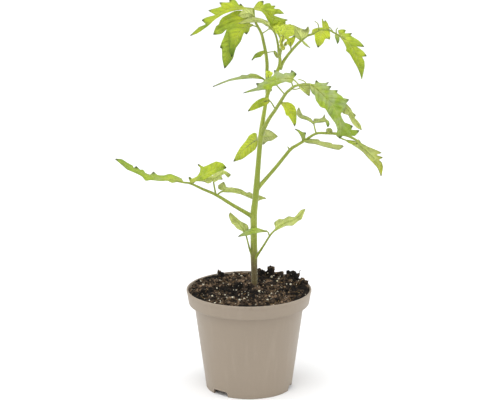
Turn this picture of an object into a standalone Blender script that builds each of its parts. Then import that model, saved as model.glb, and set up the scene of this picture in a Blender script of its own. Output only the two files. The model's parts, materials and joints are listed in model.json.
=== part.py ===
# Potted tomato plant: a young vine with ten cut leaves in a tapered plastic pot.
# The pot's axis is X = Y = 0, the pot stands on Z = 0 and the plant's front faces -Y.
# Measures are millimetres here and become metres when a mesh is made.

import math
import random

import bmesh
import bpy
from mathutils import Vector
from mathutils.noise import noise

# Driving dimensions of the pot
POT_HEIGHT = 102.0
RIM_RADIUS = 62.5
COLLAR_FOOT_RADIUS = 60.2
COLLAR_BOTTOM = 87.4
BODY_TOP_RADIUS = 54.9
FOOT_RADIUS = 43.0
WALL = 1.6
RIM_ROUNDING = 0.7
FLOOR_LEVEL = 6.0
FLOOR_THICKNESS = 2.0
POT_SIDES = 56
NOTCH_HEIGHT = 5.2
NOTCH_HALF_ANGLE = math.radians(12.5)
NOTCH_ANGLES = [math.radians(a) for a in (-132.0, -12.0, 108.0)]
DRAIN_RADIUS = 4.5
DRAIN_CIRCLE = 31.0

# Driving dimensions of the plant
GAP = 0.3
BLADE_THICKNESS = 0.72
BASE_HALF_WIDTH = 0.8
TIP_HALF_WIDTH = 0.35
SOIL_RINGS = 13
SOIL_SIDES = 44
SOIL_CLEARANCE = 0.6
STEM_SIDES = 10
STALK_SIDES = 6
TWIG_SIDES = 5
SCRAP_POINTS = 20

# The leaves are laid out as on a drawing sheet that stands on the pot's axis, square to the
# line of sight. A place is (across, up, toward): millimetres right of the axis and above the
# rim as drawn on the sheet, then how far the point stands out of the sheet to the viewer.
SIGHT_TILT = math.radians(14.7)
SHEET_LEVEL = 102.4
EYE_DISTANCE = 2291.0
SHEET_CENTRE = (1.0, 88.0)
SHEET_UP = Vector((0.0, math.sin(SIGHT_TILT), math.cos(SIGHT_TILT)))
SIGHT_LINE = Vector((0.0, math.cos(SIGHT_TILT), -math.sin(SIGHT_TILT)))
SHEET_ORIGIN = Vector((0.0, 0.0, SHEET_LEVEL))
EYE_TARGET = SHEET_ORIGIN + Vector((SHEET_CENTRE[0], 0, 0)) + SHEET_CENTRE[1] * SHEET_UP
EYE = EYE_TARGET - EYE_DISTANCE * SIGHT_LINE


def seen(across, up, toward):
    """The point that the eye sees at (across, up) on the sheet, standing toward mm before the axis."""
    on_sheet = SHEET_ORIGIN + Vector((across, 0, 0)) + up * SHEET_UP
    ray = on_sheet - EYE
    return EYE + ray * ((-toward - EYE.y) / ray.y)


# Main stem: (across, up, toward, radius) from the cut foot in the potting mix to the tip
STEM = [
    (5.4, -18, -12, 2.9), (5.4, 8, -12, 3.1), (5.0, 29, -11, 3.4), (5.0, 34, -11, 3.7),
    (4.9, 42, -10.5, 3.4),
    (4.8, 60, -9, 3.3), (4.8, 74, -8, 3.45), (6.3, 88, -7, 3.05), (7.6, 102, -6, 3.1), (8.8, 118, -5, 2.6),
    (10.6, 140, -4, 2.45), (12.4, 157, -3, 2.5), (15.5, 178, -3, 1.95), (18, 191, -3, 1.95),
    (21, 201, -3, 1.95),
    (27.5, 215, -3, 1.75), (30.8, 224, -3, 1.65), (30.5, 236, -3, 1.3),
]

# Each leaf has stalks and blades. A stalk is a list like the stem's. A blade is its midrib, from
# base to tip, the outlines of its two halves from base to tip, and how steeply each half leans
# to the viewer for each millimetre out from the midrib.
LEAF_01 = {
    "stalks": [[(4, 31, -10, 1.1), (1.2, 37, -9, 0.95), (-1.2, 46, -6, 0.8), (-2.9, 52.5, -4, 0.75),
                (-6, 60, 0, 0.5)]],
    "blades": [
        ([(-2.9, 52.5, -4), (-5, 58, -1), (-12, 67, 5), (-18.9, 75.5, 10)],
         [(-1, 57), (-0.4, 60.1), (-1.5, 63.3), (-8.3, 66.8), (-14.2, 72)],
         [(-6.1, 56.3), (-12.1, 59.5), (-15.3, 63.3), (-17, 64.4), (-20.2, 72.5)], (-0.4, 0.3)),
    ],
}
LEAF_02 = {
    "stalks": [[(5.8, 29.5, -9.5, 1.4), (8.8, 33.6, -8, 1.25), (15, 43, -3, 1.05), (21, 52.5, 2, 0.95),
                (26, 58, 4.5, 0.85), (32, 63.2, 8, 0.5)],
               [(20.5, 52, 1.6, 0.7), (18.2, 56.6, 1.6, 0.6), (12, 57.2, 0.8, 0.45)]],
    "blades": [
        ([(25, 57, 4), (36, 65.5, 10), (46, 69, 15), (56.2, 79, 18)],
         [(26.4, 60.1), (25, 65), (30.2, 69.3), (34, 68.7), (39.4, 71.7), (45.4, 70.9), (51.9, 78)],
         [(30.2, 59), (37.2, 62.2), (43.7, 62.5), (49.2, 67.1), (52.4, 68.7), (54.6, 74.2)], (-0.6, 0.7)),
        ([(18.2, 56.8, 1.5), (11, 57.2, 0.8), (1, 56.2, 1), (-5, 53.7, 2.5), (-11, 51.4, 4)],
         [(15, 58), (10.7, 59.5), (6.9, 60.3), (0, 59), (-6.1, 55.4)],
         [(13.9, 55.7), (7.4, 54.8), (0, 52.8), (-5.6, 51.8)], (-0.5, 0.5)),
    ],
}
LEAF_03 = {
    "stalks": [[(4.5, 70.8, -8, 2.2), (0, 73.5, -7, 2.1), (-17, 83.4, -4, 1.8), (-33, 93.2, -1, 1.6),
                (-46, 98.8, 1, 1.35), (-58.5, 104.5, 3, 1.15), (-66.5, 105.7, 4, 0.95),
                (-80, 108.4, 8, 0.6)],
               [(-33, 93, -1, 0.9), (-35, 103, -3, 0.8), (-36, 110, -4, 0.65)],
               [(-32, 92.8, -1.5, 0.9), (-28, 96, -5, 0.85), (-21, 97.3, -9, 0.65)],
               [(-57, 104.2, 3, 0.85), (-50, 110.2, 7, 0.7)]],
    "blades": [
        ([(-66, 105.8, 4), (-80, 108.5, 8), (-95, 111, 11), (-110, 116.4, 13), (-133.6, 129, 12)],
         [(-67.6, 109.4), (-73.7, 112.2), (-79, 114.1), (-85.4, 112.5), (-91.6, 113), (-95.6, 116.3),
          (-98.8, 113.3), (-103.6, 115), (-106, 118.2), (-109, 118.2), (-112.8, 121.8), (-115.2, 120),
          (-116.4, 122.3), (-122, 125.3), (-127, 128.6)],
         [(-72, 106.2), (-76.8, 105.1), (-81.2, 107.3), (-88.5, 107), (-98, 108), (-103.2, 107.3),
          (-107.2, 111.8), (-115.8, 116), (-121.8, 118.5), (-126.5, 122.6)], (-2.4, 2.4)),
        ([(-58.5, 105.5, 3), (-50, 110.5, 7), (-38, 117, 12), (-30, 120, 15), (-22.5, 120.3, 18)],
         [(-60.4, 110.2), (-59.2, 111.2), (-56.8, 109.4), (-51.8, 111.8), (-49, 116), (-48.6, 120),
          (-51.4, 123.2), (-50.4, 123.9), (-45.4, 121.2), (-32.8, 126.5), (-26.1, 124.6)],
         [(-52, 107.2), (-45, 108), (-38.5, 112), (-30.9, 116.4), (-26, 118)], (-0.8, 1.0)),
        ([(-36, 109.5, -4), (-30.5, 112.6, -6.5), (-25.2, 115.9, -9), (-21.8, 113.6, -11),
          (-18.2, 113.2, -12)],
         [(-36, 115), (-31, 118.5), (-25.4, 118), (-21.6, 116)],
         [(-35.6, 105.8), (-32.7, 106.8), (-30.2, 108.4), (-26.3, 108.6), (-27.6, 112.3), (-24.6, 113.9),
          (-20.9, 110.4)], (-1.0, 0.6)),
        ([(-35.5, 110, -4), (-42, 109.4, -3.5), (-49, 108.8, -2), (-54.5, 107, 0)],
         [(-40, 115.5), (-46, 115), (-51, 111.4)],
         [(-37.5, 105.8), (-41, 104.5), (-45, 106.3), (-50, 106.8)], (-1.0, 0.8)),
        ([(-26, 96.8, -6), (-19, 97.3, -10), (-9, 96.3, -17), (1, 92, -22), (9.8, 90.2, -25),
          (17.2, 89.6, -27)],
         [(-28, 97.8), (-30.9, 99.7), (-30.9, 102.6), (-25.1, 106.4), (-22.3, 100.9), (-17.5, 100.7),
          (-7.9, 98.8),
          (-2.2, 95.4), (1.2, 95.9), (3.6, 94.2), (10, 93)],
         [(-24.2, 95.7), (-16.5, 95.4), (-7.9, 93.6), (2.6, 89.2), (9.6, 87.4), (13, 88.6)], (-0.8, 0.6)),
    ],
}
LEAF_04 = {
    "stalks": [[(7.4, 98.2, -6, 2.2), (11.8, 103.4, -7, 2.0), (26.6, 120.4, -11, 1.8), (41, 138, -15, 1.7),
                (47.3, 142.4, -17, 1.55), (53.2, 146, -19, 1.45), (57.9, 149, -21, 1.35),
                (67.4, 154.5, -24, 1.25),
                (77.5, 154.8, -27, 1.35), (88, 154.2, -30, 1.45), (97, 152.8, -32, 1.4),
                (103, 150.3, -33, 1.3),
                (109, 146.5, -34, 1.0), (118, 137, -35.5, 0.5)],
               [(40.8, 137.4, -15, 0.9), (38.7, 141.4, -14, 0.5)],
               [(67.2, 154.5, -24, 0.8), (65.6, 160.5, -27, 0.7), (64.9, 164.7, -29, 0.7)],
               [(87.8, 152.6, -30, 0.8), (91.5, 150, -30.5, 0.85), (100, 146.5, -31.3, 0.6)]],
    "blades": [
        ([(53.6, 147.3, -19), (54, 151.6, -17), (52.3, 154.9, -15), (46, 159, -12)],
         [(52.6, 149.6), (51, 153.2), (49.2, 156)],
         [(56.2, 150), (56.4, 153), (57, 155.4), (53.2, 156), (49.6, 158.2)], (0.8, -0.6)),
        ([(54.5, 147, -19), (66, 146.4, -13), (79, 143.5, -5), (94.6, 141.8, 4)],
         [(57.5, 149.2), (64.2, 148.9), (69.8, 148.5), (71.2, 146.8), (82.4, 145), (83.5, 143.8),
          (92, 143.1)],
         [(58.5, 144.9), (66.3, 144), (74.7, 141.5), (83.1, 139.4), (90.1, 138.2)], (-2.4, 2.4)),
        ([(64.9, 164.2, -29), (60, 168.5, -33), (54, 171.2, -37), (49.8, 180.5, -41)],
         [(62, 169.4), (57, 172), (53.6, 173), (51.6, 177)],
         [(61.6, 165.9), (57.8, 168), (51.5, 169.8), (48, 173.1), (48.2, 178)], (-1.6, 1.4)),
        ([(64.3, 165, -29), (71, 167, -32), (77.8, 168, -35)],
         [(65, 169.3), (71.2, 169.4), (73.8, 171), (75.4, 173.8), (76.4, 170)],
         [(67.7, 165.2), (71.2, 165.3), (76.2, 166.2)], (-1.5, 1.2)),
        ([(76.4, 168.4, -34.5), (78.5, 165, -33), (78.9, 160.8, -31)],
         [(76.4, 166), (77.5, 163)], [(79.6, 167), (80.5, 163.6)], (0.6, -0.6)),
        ([(79.6, 154.6, -27.5), (79.8, 157, -26), (81.4, 159.8, -24)],
         [(77.3, 156.4), (77.3, 158.8), (79, 159.8)], [(83.6, 155.6), (83, 158.6)], (0.5, -0.5)),
        ([(97.5, 147.6, -31), (102, 146.2, -32), (108.2, 144.2, -33)],
         [(99.2, 148), (105.6, 147)], [(99.6, 145), (104.2, 143.6)], (-1.0, 1.0)),
        ([(107, 147.6, -34), (114, 141, -35), (122, 133.5, -36), (128, 126, -34), (132.2, 111.7, -33)],
         [(109.8, 148.6), (112.6, 144.9), (120.3, 140.8), (127.3, 138), (132.6, 135.2), (127.3, 133.1),
          (134, 130.6), (130.1, 128.2), (132.9, 125.4), (134, 120.5)],
         [(102, 144.4), (108.4, 140.1), (114, 135.9), (118.9, 130.3), (125.2, 124), (128.7, 119.8)],
         (-0.6, 0.5)),
    ],
}
LEAF_05 = {
    "stalks": [[(11.2, 145.5, -4.5, 1.9), (11, 148, -11, 1.6), (10.5, 150, -25, 1.3),
                (9.5, 150.5, -42, 1.1)],
               [(10, 150.4, -36, 0.85), (6.5, 147.6, -42.5, 0.75), (1, 143.5, -49, 0.6),
                (-3, 140, -55, 0.45)],
               [(9.7, 150.5, -39, 0.85), (12.5, 151.2, -44, 0.7), (17, 151.8, -49, 0.55)]],
    "blades": [
        ([(8.5, 149, -41), (1, 143.5, -49), (-7, 136, -62), (-15.4, 126.5, -76)],
         [(7.5, 154.5), (4.9, 155.2), (0.4, 152.6), (-3.4, 146.8), (-8.5, 140.8), (-13, 133)],
         [(8.5, 143.5), (6.4, 138.5), (0, 133.7), (-6.6, 129)], (-0.7, 0.5)),
        ([(9.2, 150.4, -41), (17, 151.8, -49), (28.7, 151.6, -62)],
         [(10, 155), (16.9, 158.5), (19.8, 158.2), (23.2, 156.4)],
         [(11, 145.4), (14.6, 143.5), (18.6, 146.7), (22.7, 147.3), (25, 148.7)], (-0.9, 0.9)),
    ],
}
LEAF_06 = {
    "stalks": [[(12.5, 154.1, -3, 2.2), (15.3, 160.4, 0.5, 2.1), (20.5, 169.9, 7, 1.9),
                (25.8, 177.4, 13, 1.75),
                (31.8, 186.8, 21, 1.65), (36.8, 194.4, 28, 1.5), (41.3, 198.6, 33, 1.4),
                (44.6, 201.2, 37, 1.3), (49, 202.8, 42, 1.15), (55, 203.4, 48, 1.05),
                (61.9, 203.5, 54, 0.95), (69, 198, 58, 0.8),
                (78, 189, 62, 0.5)],
               [(26, 179.5, 14, 0.65), (20.6, 187.3, 15, 0.6), (15, 186.5, 15, 0.45)],
               [(35.3, 194, 27, 0.65), (27.5, 202.9, 27, 0.6), (25.5, 205, 26, 0.5)],
               [(43.8, 201.3, 36, 0.65), (42.4, 206.5, 35, 0.6)],
               [(49.8, 203.2, 42, 0.65), (43.5, 208.9, 36, 0.65), (35, 209.5, 31, 0.5)],
               [(42.2, 199.5, 34, 0.65), (46, 198.6, 38, 0.55), (51.6, 200, 44, 0.5)],
               [(57.5, 203.4, 50, 0.6), (55.8, 206.3, 48, 0.5), (52.4, 208, 46, 0.45),
                (49.3, 208.8, 44, 0.4)],
               [(31, 186.4, 20.5, 0.65), (33.5, 183.5, 21, 0.6), (38.5, 180, 26, 0.5)]],
    "blades": [
        ([(20.8, 187.3, 15), (13, 186, 14), (6, 182, 17), (-1.1, 176.7, 21)],
         [(19, 190.5), (13.5, 190.1), (7.8, 187.3), (3, 182.9)],
         [(19.5, 184.5), (14.5, 182), (4.9, 178)], (-0.5, 0.5)),
        ([(31.8, 185.4, 20.5), (38, 181, 26), (42.5, 174, 31), (45.7, 161.6, 37)],
         [(35.2, 185.8), (39, 185.8), (42.8, 184.3), (45.5, 181.6), (47.4, 176.6), (47.4, 170),
          (47.1, 164.8)],
         [(34.4, 180.5), (35.9, 176.6), (37, 172.8), (39.4, 171.8), (43, 166)], (-0.5, 0.4)),
        ([(44.3, 208.7, 37), (35, 209.5, 31), (23, 206.3, 27), (11, 200.4, 27), (-5.7, 194.9, 31)],
         [(45.7, 211.1), (47.6, 213.9), (42.6, 218), (41.4, 214.9), (36.1, 215.2), (34.7, 213.9),
          (29.9, 215.8),
          (25.1, 218), (25.1, 212.7), (17, 209.1), (15.6, 207.4), (12, 205), (7, 204.7), (8.4, 200.9),
          (3, 198.8)],
         [(42.8, 204.8), (36.6, 206.1), (29.9, 204), (27.1, 202.3), (23.7, 201.8), (22.3, 199), (16, 198.5),
          (9, 197.3), (3, 196.3)], (-0.6, 0.5)),
        ([(49.8, 203.4, 43), (55.5, 198.5, 46), (60.4, 192, 48)],
         [(51, 199.4), (56.2, 194.8)], [(54.3, 205), (60.6, 203), (61.2, 197)], (0.5, -0.4)),
        ([(61.4, 203.6, 54), (64, 198, 53), (65.2, 193.3, 52)],
         [(61.4, 199), (63, 195.2)], [(65.6, 201), (66.4, 196)], (0.4, -0.4)),
        ([(61, 203.8, 54), (71, 196, 59), (81, 186, 63), (88, 175, 68), (92, 163, 72), (90.5, 149.5, 76)],
         [(65.6, 203.9), (67, 207.8), (70.5, 205.2), (76.8, 205), (80, 206), (77.5, 202.3), (82.4, 201.7),
          (80.3, 198.3), (85.9, 197.8), (88.7, 197.8), (88, 195.2), (92.6, 191.9), (94.3, 189.9),
          (100, 188.5),
          (97.1, 184.5), (95.4, 179), (91.6, 173.8), (95.4, 165.6), (100, 164), (103.8, 161.9),
          (102.1, 158.4),
          (110.5, 157.6), (105.6, 152), (95, 153)],
         [(61.4, 199.8), (62.8, 195.5), (65.6, 193.1), (67.3, 187.1), (71.9, 180.8), (76.1, 179.4),
          (79.6, 173.8),
          (83.1, 168.9), (86.6, 164), (88.3, 158.4), (87.6, 154.1)], (-0.55, 0.35)),
        ([(83, 187, 62.2), (88.5, 186, 59), (97, 181, 57), (104, 172, 58.5), (112.6, 158, 62)],
         [(97, 184.6), (102.1, 179), (103.5, 175.9), (107, 172.9), (105.6, 170.5), (109.1, 166.8),
          (111.9, 162.6)],
         [(90.5, 181), (92.6, 176.4), (95, 174.2), (99.2, 173), (100.7, 170), (103.5, 164.7),
          (107.7, 160.5)],
         (-0.4, 0.4)),
    ],
}
LEAF_07 = {
    "stalks": [[(18.2, 192, -5, 1.3), (17.5, 197, -9.5, 1.1), (17.5, 203, -11, 1.0),
                (16, 207.4, -10.5, 0.95), (12.5, 210, -9, 0.85), (8, 211, -8, 0.75), (0, 211.2, -9, 0.5)]],
    "blades": [
        ([(13.4, 209.6, -9.3), (7, 211.4, -8), (-4, 211, -11), (-17, 208.3, -16), (-36.1, 201.3, -24)],
         [(9.8, 212.6), (6.9, 213.8), (1.4, 214.4), (-2, 212.8), (-7, 213.1), (-9, 211.6), (-12, 210.8),
          (-19, 208.9), (-28, 205.4)],
         [(9, 209.3), (3.5, 209.7), (-8, 208.9), (-19, 207.2), (-28, 204.1)], (-2.0, 2.0)),
    ],
}
LEAF_08 = {
    "stalks": [[(20.6, 197.5, -4, 2.1), (18.6, 206, -6, 1.9), (18, 215, -6, 1.75), (18, 225, -6, 1.7),
                (16.7, 235.5, -5, 1.6), (14.3, 247, -4, 1.5), (12.4, 254.5, -3, 1.4), (8.9, 261.3, -1, 1.3),
                (6.5, 266, 1, 1.2), (5, 272, 2, 1.1), (4.6, 279, 3, 1.0)],
               [(17, 235.4, -5, 0.65), (11, 234, 0, 0.5), (6.5, 231.6, 4, 0.4)],
               [(17, 235.2, -5, 0.6), (21, 236, -8, 0.5), (25.8, 236.4, -11, 0.5)],
               [(12.9, 254.3, -3, 0.65), (17, 257, -6, 0.55), (20.9, 259.4, -9.4, 0.5),
                (26, 260.8, -11, 0.45)],
               [(8.6, 261, -1, 0.65), (3.4, 262.8, 4, 0.55), (-2, 266, 7, 0.5)]],
    "blades": [
        ([(17, 236, -5), (11, 234, 0), (6.2, 231.5, 4), (2.7, 227.6, 7)],
         [(15, 237.4), (11.1, 236.6), (6.2, 234)], [(13.9, 233.4), (11.8, 231.1), (6.2, 230)], (-0.8, 0.6)),
        ([(25.3, 237, -11), (27.5, 233, -12), (31.4, 229.5, -12)],
         [(25, 234), (27.4, 230.3)], [(27.6, 236), (30.5, 232)], (0.4, -0.4)),
        ([(4.8, 279, 3), (-5.5, 280.2, 6), (-17, 279.4, 10), (-27, 276, 13), (-37, 268.2, 17),
          (-46, 260.6, 21),
          (-58.7, 252.2, 26)],
         [(0, 280.4), (-5, 281), (-8.4, 284.4), (-10, 283), (-13.8, 288), (-19.8, 288), (-19.6, 285.6),
          (-29.6, 285.5), (-27.5, 281.5), (-40.8, 277.5), (-33.8, 273), (-43, 270.5), (-47.2, 267.6),
          (-43.3, 263.8), (-50, 260.8)],
         [(0, 278), (-7, 278.2), (-12.1, 277.8), (-19.1, 276.2), (-26, 273.6), (-33.8, 268.6),
          (-40.8, 262.2),
          (-51.4, 254.7)], (-0.5, 0.3)),
        ([(4.5, 270, 2), (-6, 267.6, 8), (-13, 256, 15), (-20, 238, 21), (-24.4, 219.6, 24)],
         [(-1, 274.5), (-8, 277.3), (-14, 277), (-21.2, 273.3), (-26.1, 270.8), (-29, 267), (-30.3, 263.4),
          (-32.8, 261.7), (-35.6, 253.3), (-27.5, 254.3), (-22.3, 258.6), (-24.3, 252.9), (-27.2, 246),
          (-28.9, 240.3),
          (-27.2, 239.4), (-26.8, 230)],
         [(1.5, 266.2), (-1, 261.5), (-5, 255.5), (-9.5, 247), (-13.8, 238.8), (-15.8, 230.5),
          (-18.4, 226.2)], (-0.35, -0.55)),
        ([(5, 272.6, 3), (-1, 275, 9.5), (-10.7, 272.5, 14)],
         [(5.6, 277.6), (-2.2, 279.6), (-6.8, 277.5)], [(3.4, 270.6), (-0.8, 270.6), (-5.8, 269.8)],
         (-0.8, 0.2)),
        ([(4.6, 279.6, 3), (12, 279, 0), (17.5, 275.5, -4), (21.5, 270.6, -8), (28, 268.6, -12),
          (38.5, 268, -18)],
         [(5.5, 281.6), (6.9, 283.8), (9.7, 286.6), (14.6, 286.9), (14.2, 283.1), (16.7, 284.5),
          (20.9, 284.8),
          (22.3, 282.4), (26.5, 282.4), (24.8, 279.6), (30, 278.9), (34.9, 274.3), (27.2, 274),
          (24.4, 272.9),
          (30.7, 270.2)],
         [(6.2, 278), (12.2, 276.6), (15.6, 273.3), (18.2, 268.4), (20.6, 264.8), (28, 264.5),
          (34.2, 265.7)],
         (-0.5, 0.4)),
        ([(19.6, 259.4, -9), (26, 260.6, -11), (32, 263, -11), (36.6, 266, -11)],
         [(18.9, 263.2), (22.7, 266.2), (29, 267), (34.7, 268)], [(21.8, 258.2), (25.1, 256.4),
                                                                  (29.9, 255.6), (35.6, 260.6)],
         (-0.5, 0.4)),
        ([(3.8, 263.2, 4), (-3.5, 261, 9.5), (-10, 254.5, 18), (-15, 243.5, 24), (-17.5, 231.1, 27)],
         [(0, 264.6), (-8, 264.7), (-15, 264.8), (-19.6, 262.5), (-20.8, 257), (-20.3, 250), (-20, 243),
          (-19.4, 236)],
         [(2.6, 261.4), (1, 260.6), (0, 256.8), (-2.5, 253.6), (-5, 255.2), (-8.4, 246.5), (-13, 240.2),
          (-14.8, 235)], (0.05, -0.15)),
    ],
}
LEAF_09 = {
    "stalks": [[(30.2, 233, -3.6, 1.3), (29.2, 241.7, -4.6, 1.2), (27.8, 249, -3.5, 1.05),
                (26, 254.6, -1, 0.95),
                (22.7, 259, 3, 0.9), (17, 264.2, 9, 0.8), (10, 267.6, 15.5, 0.65), (2, 268.4, 21, 0.5)]],
    "blades": [
        ([(20.5, 262, 5), (13, 267, 13), (5, 268.4, 19), (-3, 267, 24), (-10.5, 264.6, 28)],
         [(19.5, 266.4), (12, 269.6), (5, 270.8), (0, 270), (-4, 268.3)],
         [(18.4, 261.4), (13.2, 264.9), (6.2, 265.8), (-2, 265), (-6, 264.2)], (-1.6, 1.6)),
    ],
}
LEAF_10 = {
    "stalks": [[(31, 219.4, -3, 1.8), (33.4, 224.7, -4, 1.6), (37.5, 231.1, -6, 1.45),
                (42.6, 237.5, -9, 1.4), (47.5, 243, -12, 1.35), (51.3, 246.7, -14, 1.3),
                (58, 252, -17, 1.15), (64, 254.1, -19, 1.05),
                (71.6, 257.6, -21, 0.95), (79.7, 258, -23, 0.9), (84.5, 255.5, -24, 0.85),
                (90, 252.6, -25, 0.8),
                (97, 248, -28, 0.5)],
               [(53, 247.6, -15, 0.9), (57, 243.6, -13, 0.65), (61, 240.2, -11, 0.45)],
               [(42.2, 237.2, -8.8, 0.65), (41.6, 242.5, -8.6, 0.6), (41.8, 246, -9, 0.4)],
               [(78.4, 261.4, -24.5, 0.5), (81.5, 259.8, -24.5, 0.45), (84.5, 255.5, -24, 0.5)],
               [(70, 257, -21, 0.6), (69.1, 263.7, -19, 0.5), (65.8, 266.8, -17, 0.4)],
               [(87.6, 253, -24.5, 0.6), (87.2, 258, -24, 0.5), (88.9, 260.1, -23, 0.4)]],
    "blades": [
        ([(53, 247.2, -15), (50.5, 253, -12), (46, 259, -10), (41.3, 263.2, -9)],
         [(49.4, 248.7), (45.2, 251.8), (43, 254.4), (43, 258.4), (41.2, 261)],
         [(56.7, 250.8), (59.1, 253.6), (60.5, 257.5), (59.1, 261.8), (56.2, 258.4), (49.1, 260.7),
          (44.6, 263)],
         (-0.5, -0.5)),
        ([(54, 246.6, -14.5), (57, 243.6, -13), (60, 241.1, -11.5)],
         [(56, 246), (59, 242.9)], [(54.4, 244.2), (58, 241.4)], (-0.5, 0.5)),
        ([(41.5, 241.5, -8.6), (41.8, 246, -9.6), (45, 252.2, -11.5)],
         [(38.6, 244.6), (37.9, 248.6), (39.6, 249.8), (42.4, 250.4)], [(43.8, 243.8), (45.4, 246.8),
                                                                        (46.4, 250.6)],
         (-0.2, -0.3)),
        ([(72.6, 258.2, -21), (71.5, 250, -13), (68.9, 240.4, -7)],
         [(65, 257.4), (65.8, 251.3), (66.2, 247)],
         [(80.3, 257.6), (81.2, 251.3), (80.5, 248.5), (77.7, 249.4), (76.2, 249), (73.9, 244.7)],
         (-0.3, -0.4)),
        ([(63, 254.4, -19), (71, 258, -21), (80.5, 258.6, -23)],
         [(63.8, 258.6), (70.5, 260.4), (78.5, 260)], [(66, 254.8), (75, 256.4)], (-0.8, 0.6)),
        ([(77.5, 257.6, -22.5), (75.6, 263, -25), (73.1, 269.2, -28)],
         [(73.9, 258.6), (73.1, 263.7)], [(80.5, 259), (78.6, 264.7), (76.2, 267.7), (75, 266.4)],
         (0.4, -0.3)),
        ([(87, 253.6, -24.5), (87.8, 249, -21), (88.6, 244.2, -19)],
         [(85.6, 252.2), (86.6, 248.6)], [(90.2, 251.3), (90.3, 247.2)], (0.4, -0.4)),
        ([(89.5, 253, -25), (97, 248, -28), (104, 238.6, -31), (109.6, 226, -33), (112.7, 209, -34)],
         [(89.1, 257.5), (93.4, 258.7), (96.7, 257.8), (95.6, 254.7), (103.1, 254.9), (101.6, 252.6),
          (109.6, 247.5),
          (115.3, 241.1), (107.6, 241.6), (113.9, 237), (117.7, 231.8), (113.2, 231.2), (115.3, 226.6),
          (115.5, 220.9), (114.3, 215.1)],
         [(91.5, 250.2), (95.3, 244.7), (97.4, 239.4), (96.9, 237.5), (101, 233.7), (104.3, 227.6),
          (108.1, 220.9),
          (110.8, 214.7)], (-0.6, 0.4)),
    ],
}
AXIL_LEAF = {
    "stalks": [[(22.8, 204.5, -1.6, 1.1), (20.6, 207, 1.6, 0.9), (19.4, 211, 3.4, 0.75),
                (19.6, 213.5, 4, 0.5)]],
    "blades": [
        ([(19.3, 210, 3.4), (19.5, 214, 4.4), (20.5, 217.4, 5)],
         [(17, 211.5), (16.6, 214.5), (16.9, 217.8), (18.7, 216.6)], [(22.3, 211.6), (23.9, 215.4),
                                                                      (21.8, 216.3)],
         (0.3, 0.3)),
    ],
}
TIP_LEAVES = {
    "stalks": [[(31, 234, -1.6, 1.2), (32, 239, 0.4, 1.0), (33.2, 246, 2.4, 0.85), (33.8, 252, 3.6, 0.7),
                (36.4, 256.5, 6.4, 0.5)],
               [(32.6, 242, 1.2, 0.65), (31, 250, -0.4, 0.6), (28.8, 256.5, -3.8, 0.45)],
               [(33.6, 250, 3, 0.6), (34.6, 256, 1, 0.5), (35, 260, -0.4, 0.4)]],
    "blades": [
        ([(33.6, 248.6, 3), (35.8, 255, 6.2), (38.8, 260, 8), (41.6, 263.8, 8)],
         [(31.6, 250.6), (32.4, 253), (31, 255.4), (33.6, 258.4), (33.4, 261), (37, 263)],
         [(36, 248.8), (39, 249), (40.4, 251.4), (43.6, 252.2), (45.4, 254.8), (45, 257.6),
          (46, 259.6), (43.6, 262.4)],
         (-0.4, -0.4)),
        ([(30.9, 250.8, -0.6), (29, 256, -3.6), (26.6, 262.6, -5.5)],
         [(28.6, 253.4), (26, 256), (26.4, 258), (24, 260.6)], [(32, 254.6), (31.4, 257), (33, 259),
                                                                (29.4, 262.6)],
         (0.4, 0.4)),
        ([(34, 252.6, 2.4), (34.8, 258, 0.4), (35.4, 264, -2)],
         [(32.4, 256), (33, 258.6), (31.2, 261.4), (33.6, 263)], [(36.4, 256.4), (37.6, 260.6),
                                                                  (39.2, 262.6), (36.8, 263.8)],
         (0.5, -0.5)),
    ],
}
FLOWER_TRUSS = [(30.9, 230.6, -1.4, 0.9), (31.7, 234.4, 3, 0.75), (32.7, 238.6, 6.4, 0.7),
                (33.2, 243, 8, 0.6), (33.5, 248, 9.4, 0.5)]
# Flower buds: (across, up, toward, half length, half width), hung on the truss
BUDS = [(33.9, 249.6, 9.8, 2.9, 1.7), (32.4, 243.2, 8.6, 2.4, 1.35), (34.2, 240, 8, 2.5, 1.4),
        (37, 244.4, 7.6, 2.5, 1.2), (31.6, 246.6, 9.6, 2.1, 1.1)]

# Places on the potting mix: (x, y, height, spread). The first ones are clods and a bank that stand
# above the rim at the back and right, the rest are hollows by the stem and at the front.
SOIL_FORMS = [
    (21.5, 49.0, 10.5, 4.6), (13.0, 48.0, 6.0, 4.2), (43.5, 36.0, 8.5, 6.8), (-28.5, 47.0, 5.0, 3.8),
    (54.0, 18.0, 4.5, 6.0), (55.0, 2.0, 2.5, 6.0), (34.0, 22.0, 3.0, 9.0),
    (-6.0, 1.0, -7.0, 6.5), (-14.0, -9.0, -4.0, 6.0), (4.0, -49.0, -5.0, 5.0), (23.0, -8.0, -4.5, 5.5),
    (-46.0, -14.0, -3.0, 7.0),
]

LEAF_GREEN = (0.34, 0.5, 0.06)
YOUNG_GREEN = (0.48, 0.62, 0.05)
STEM_GREEN = (0.27, 0.36, 0.06)
BUD_BROWN = (0.3, 0.26, 0.05)
POT_TAUPE = (0.376, 0.319, 0.245)
MIX_BROWN = (0.035, 0.025, 0.016)


def clear_scene():
    """Take out everything that a new file starts with."""
    for obj in list(bpy.data.objects):
        bpy.data.objects.remove(obj, do_unlink=True)


def material(name, colour, roughness):
    """A plain Principled material for one finish."""
    made = bpy.data.materials.new(name)
    made.use_nodes = True
    shader = made.node_tree.nodes["Principled BSDF"]
    shader.inputs["Base Color"].default_value = (*colour, 1.0)
    shader.inputs["Roughness"].default_value = roughness
    shader.inputs["Metallic"].default_value = 0.0
    return made


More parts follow.
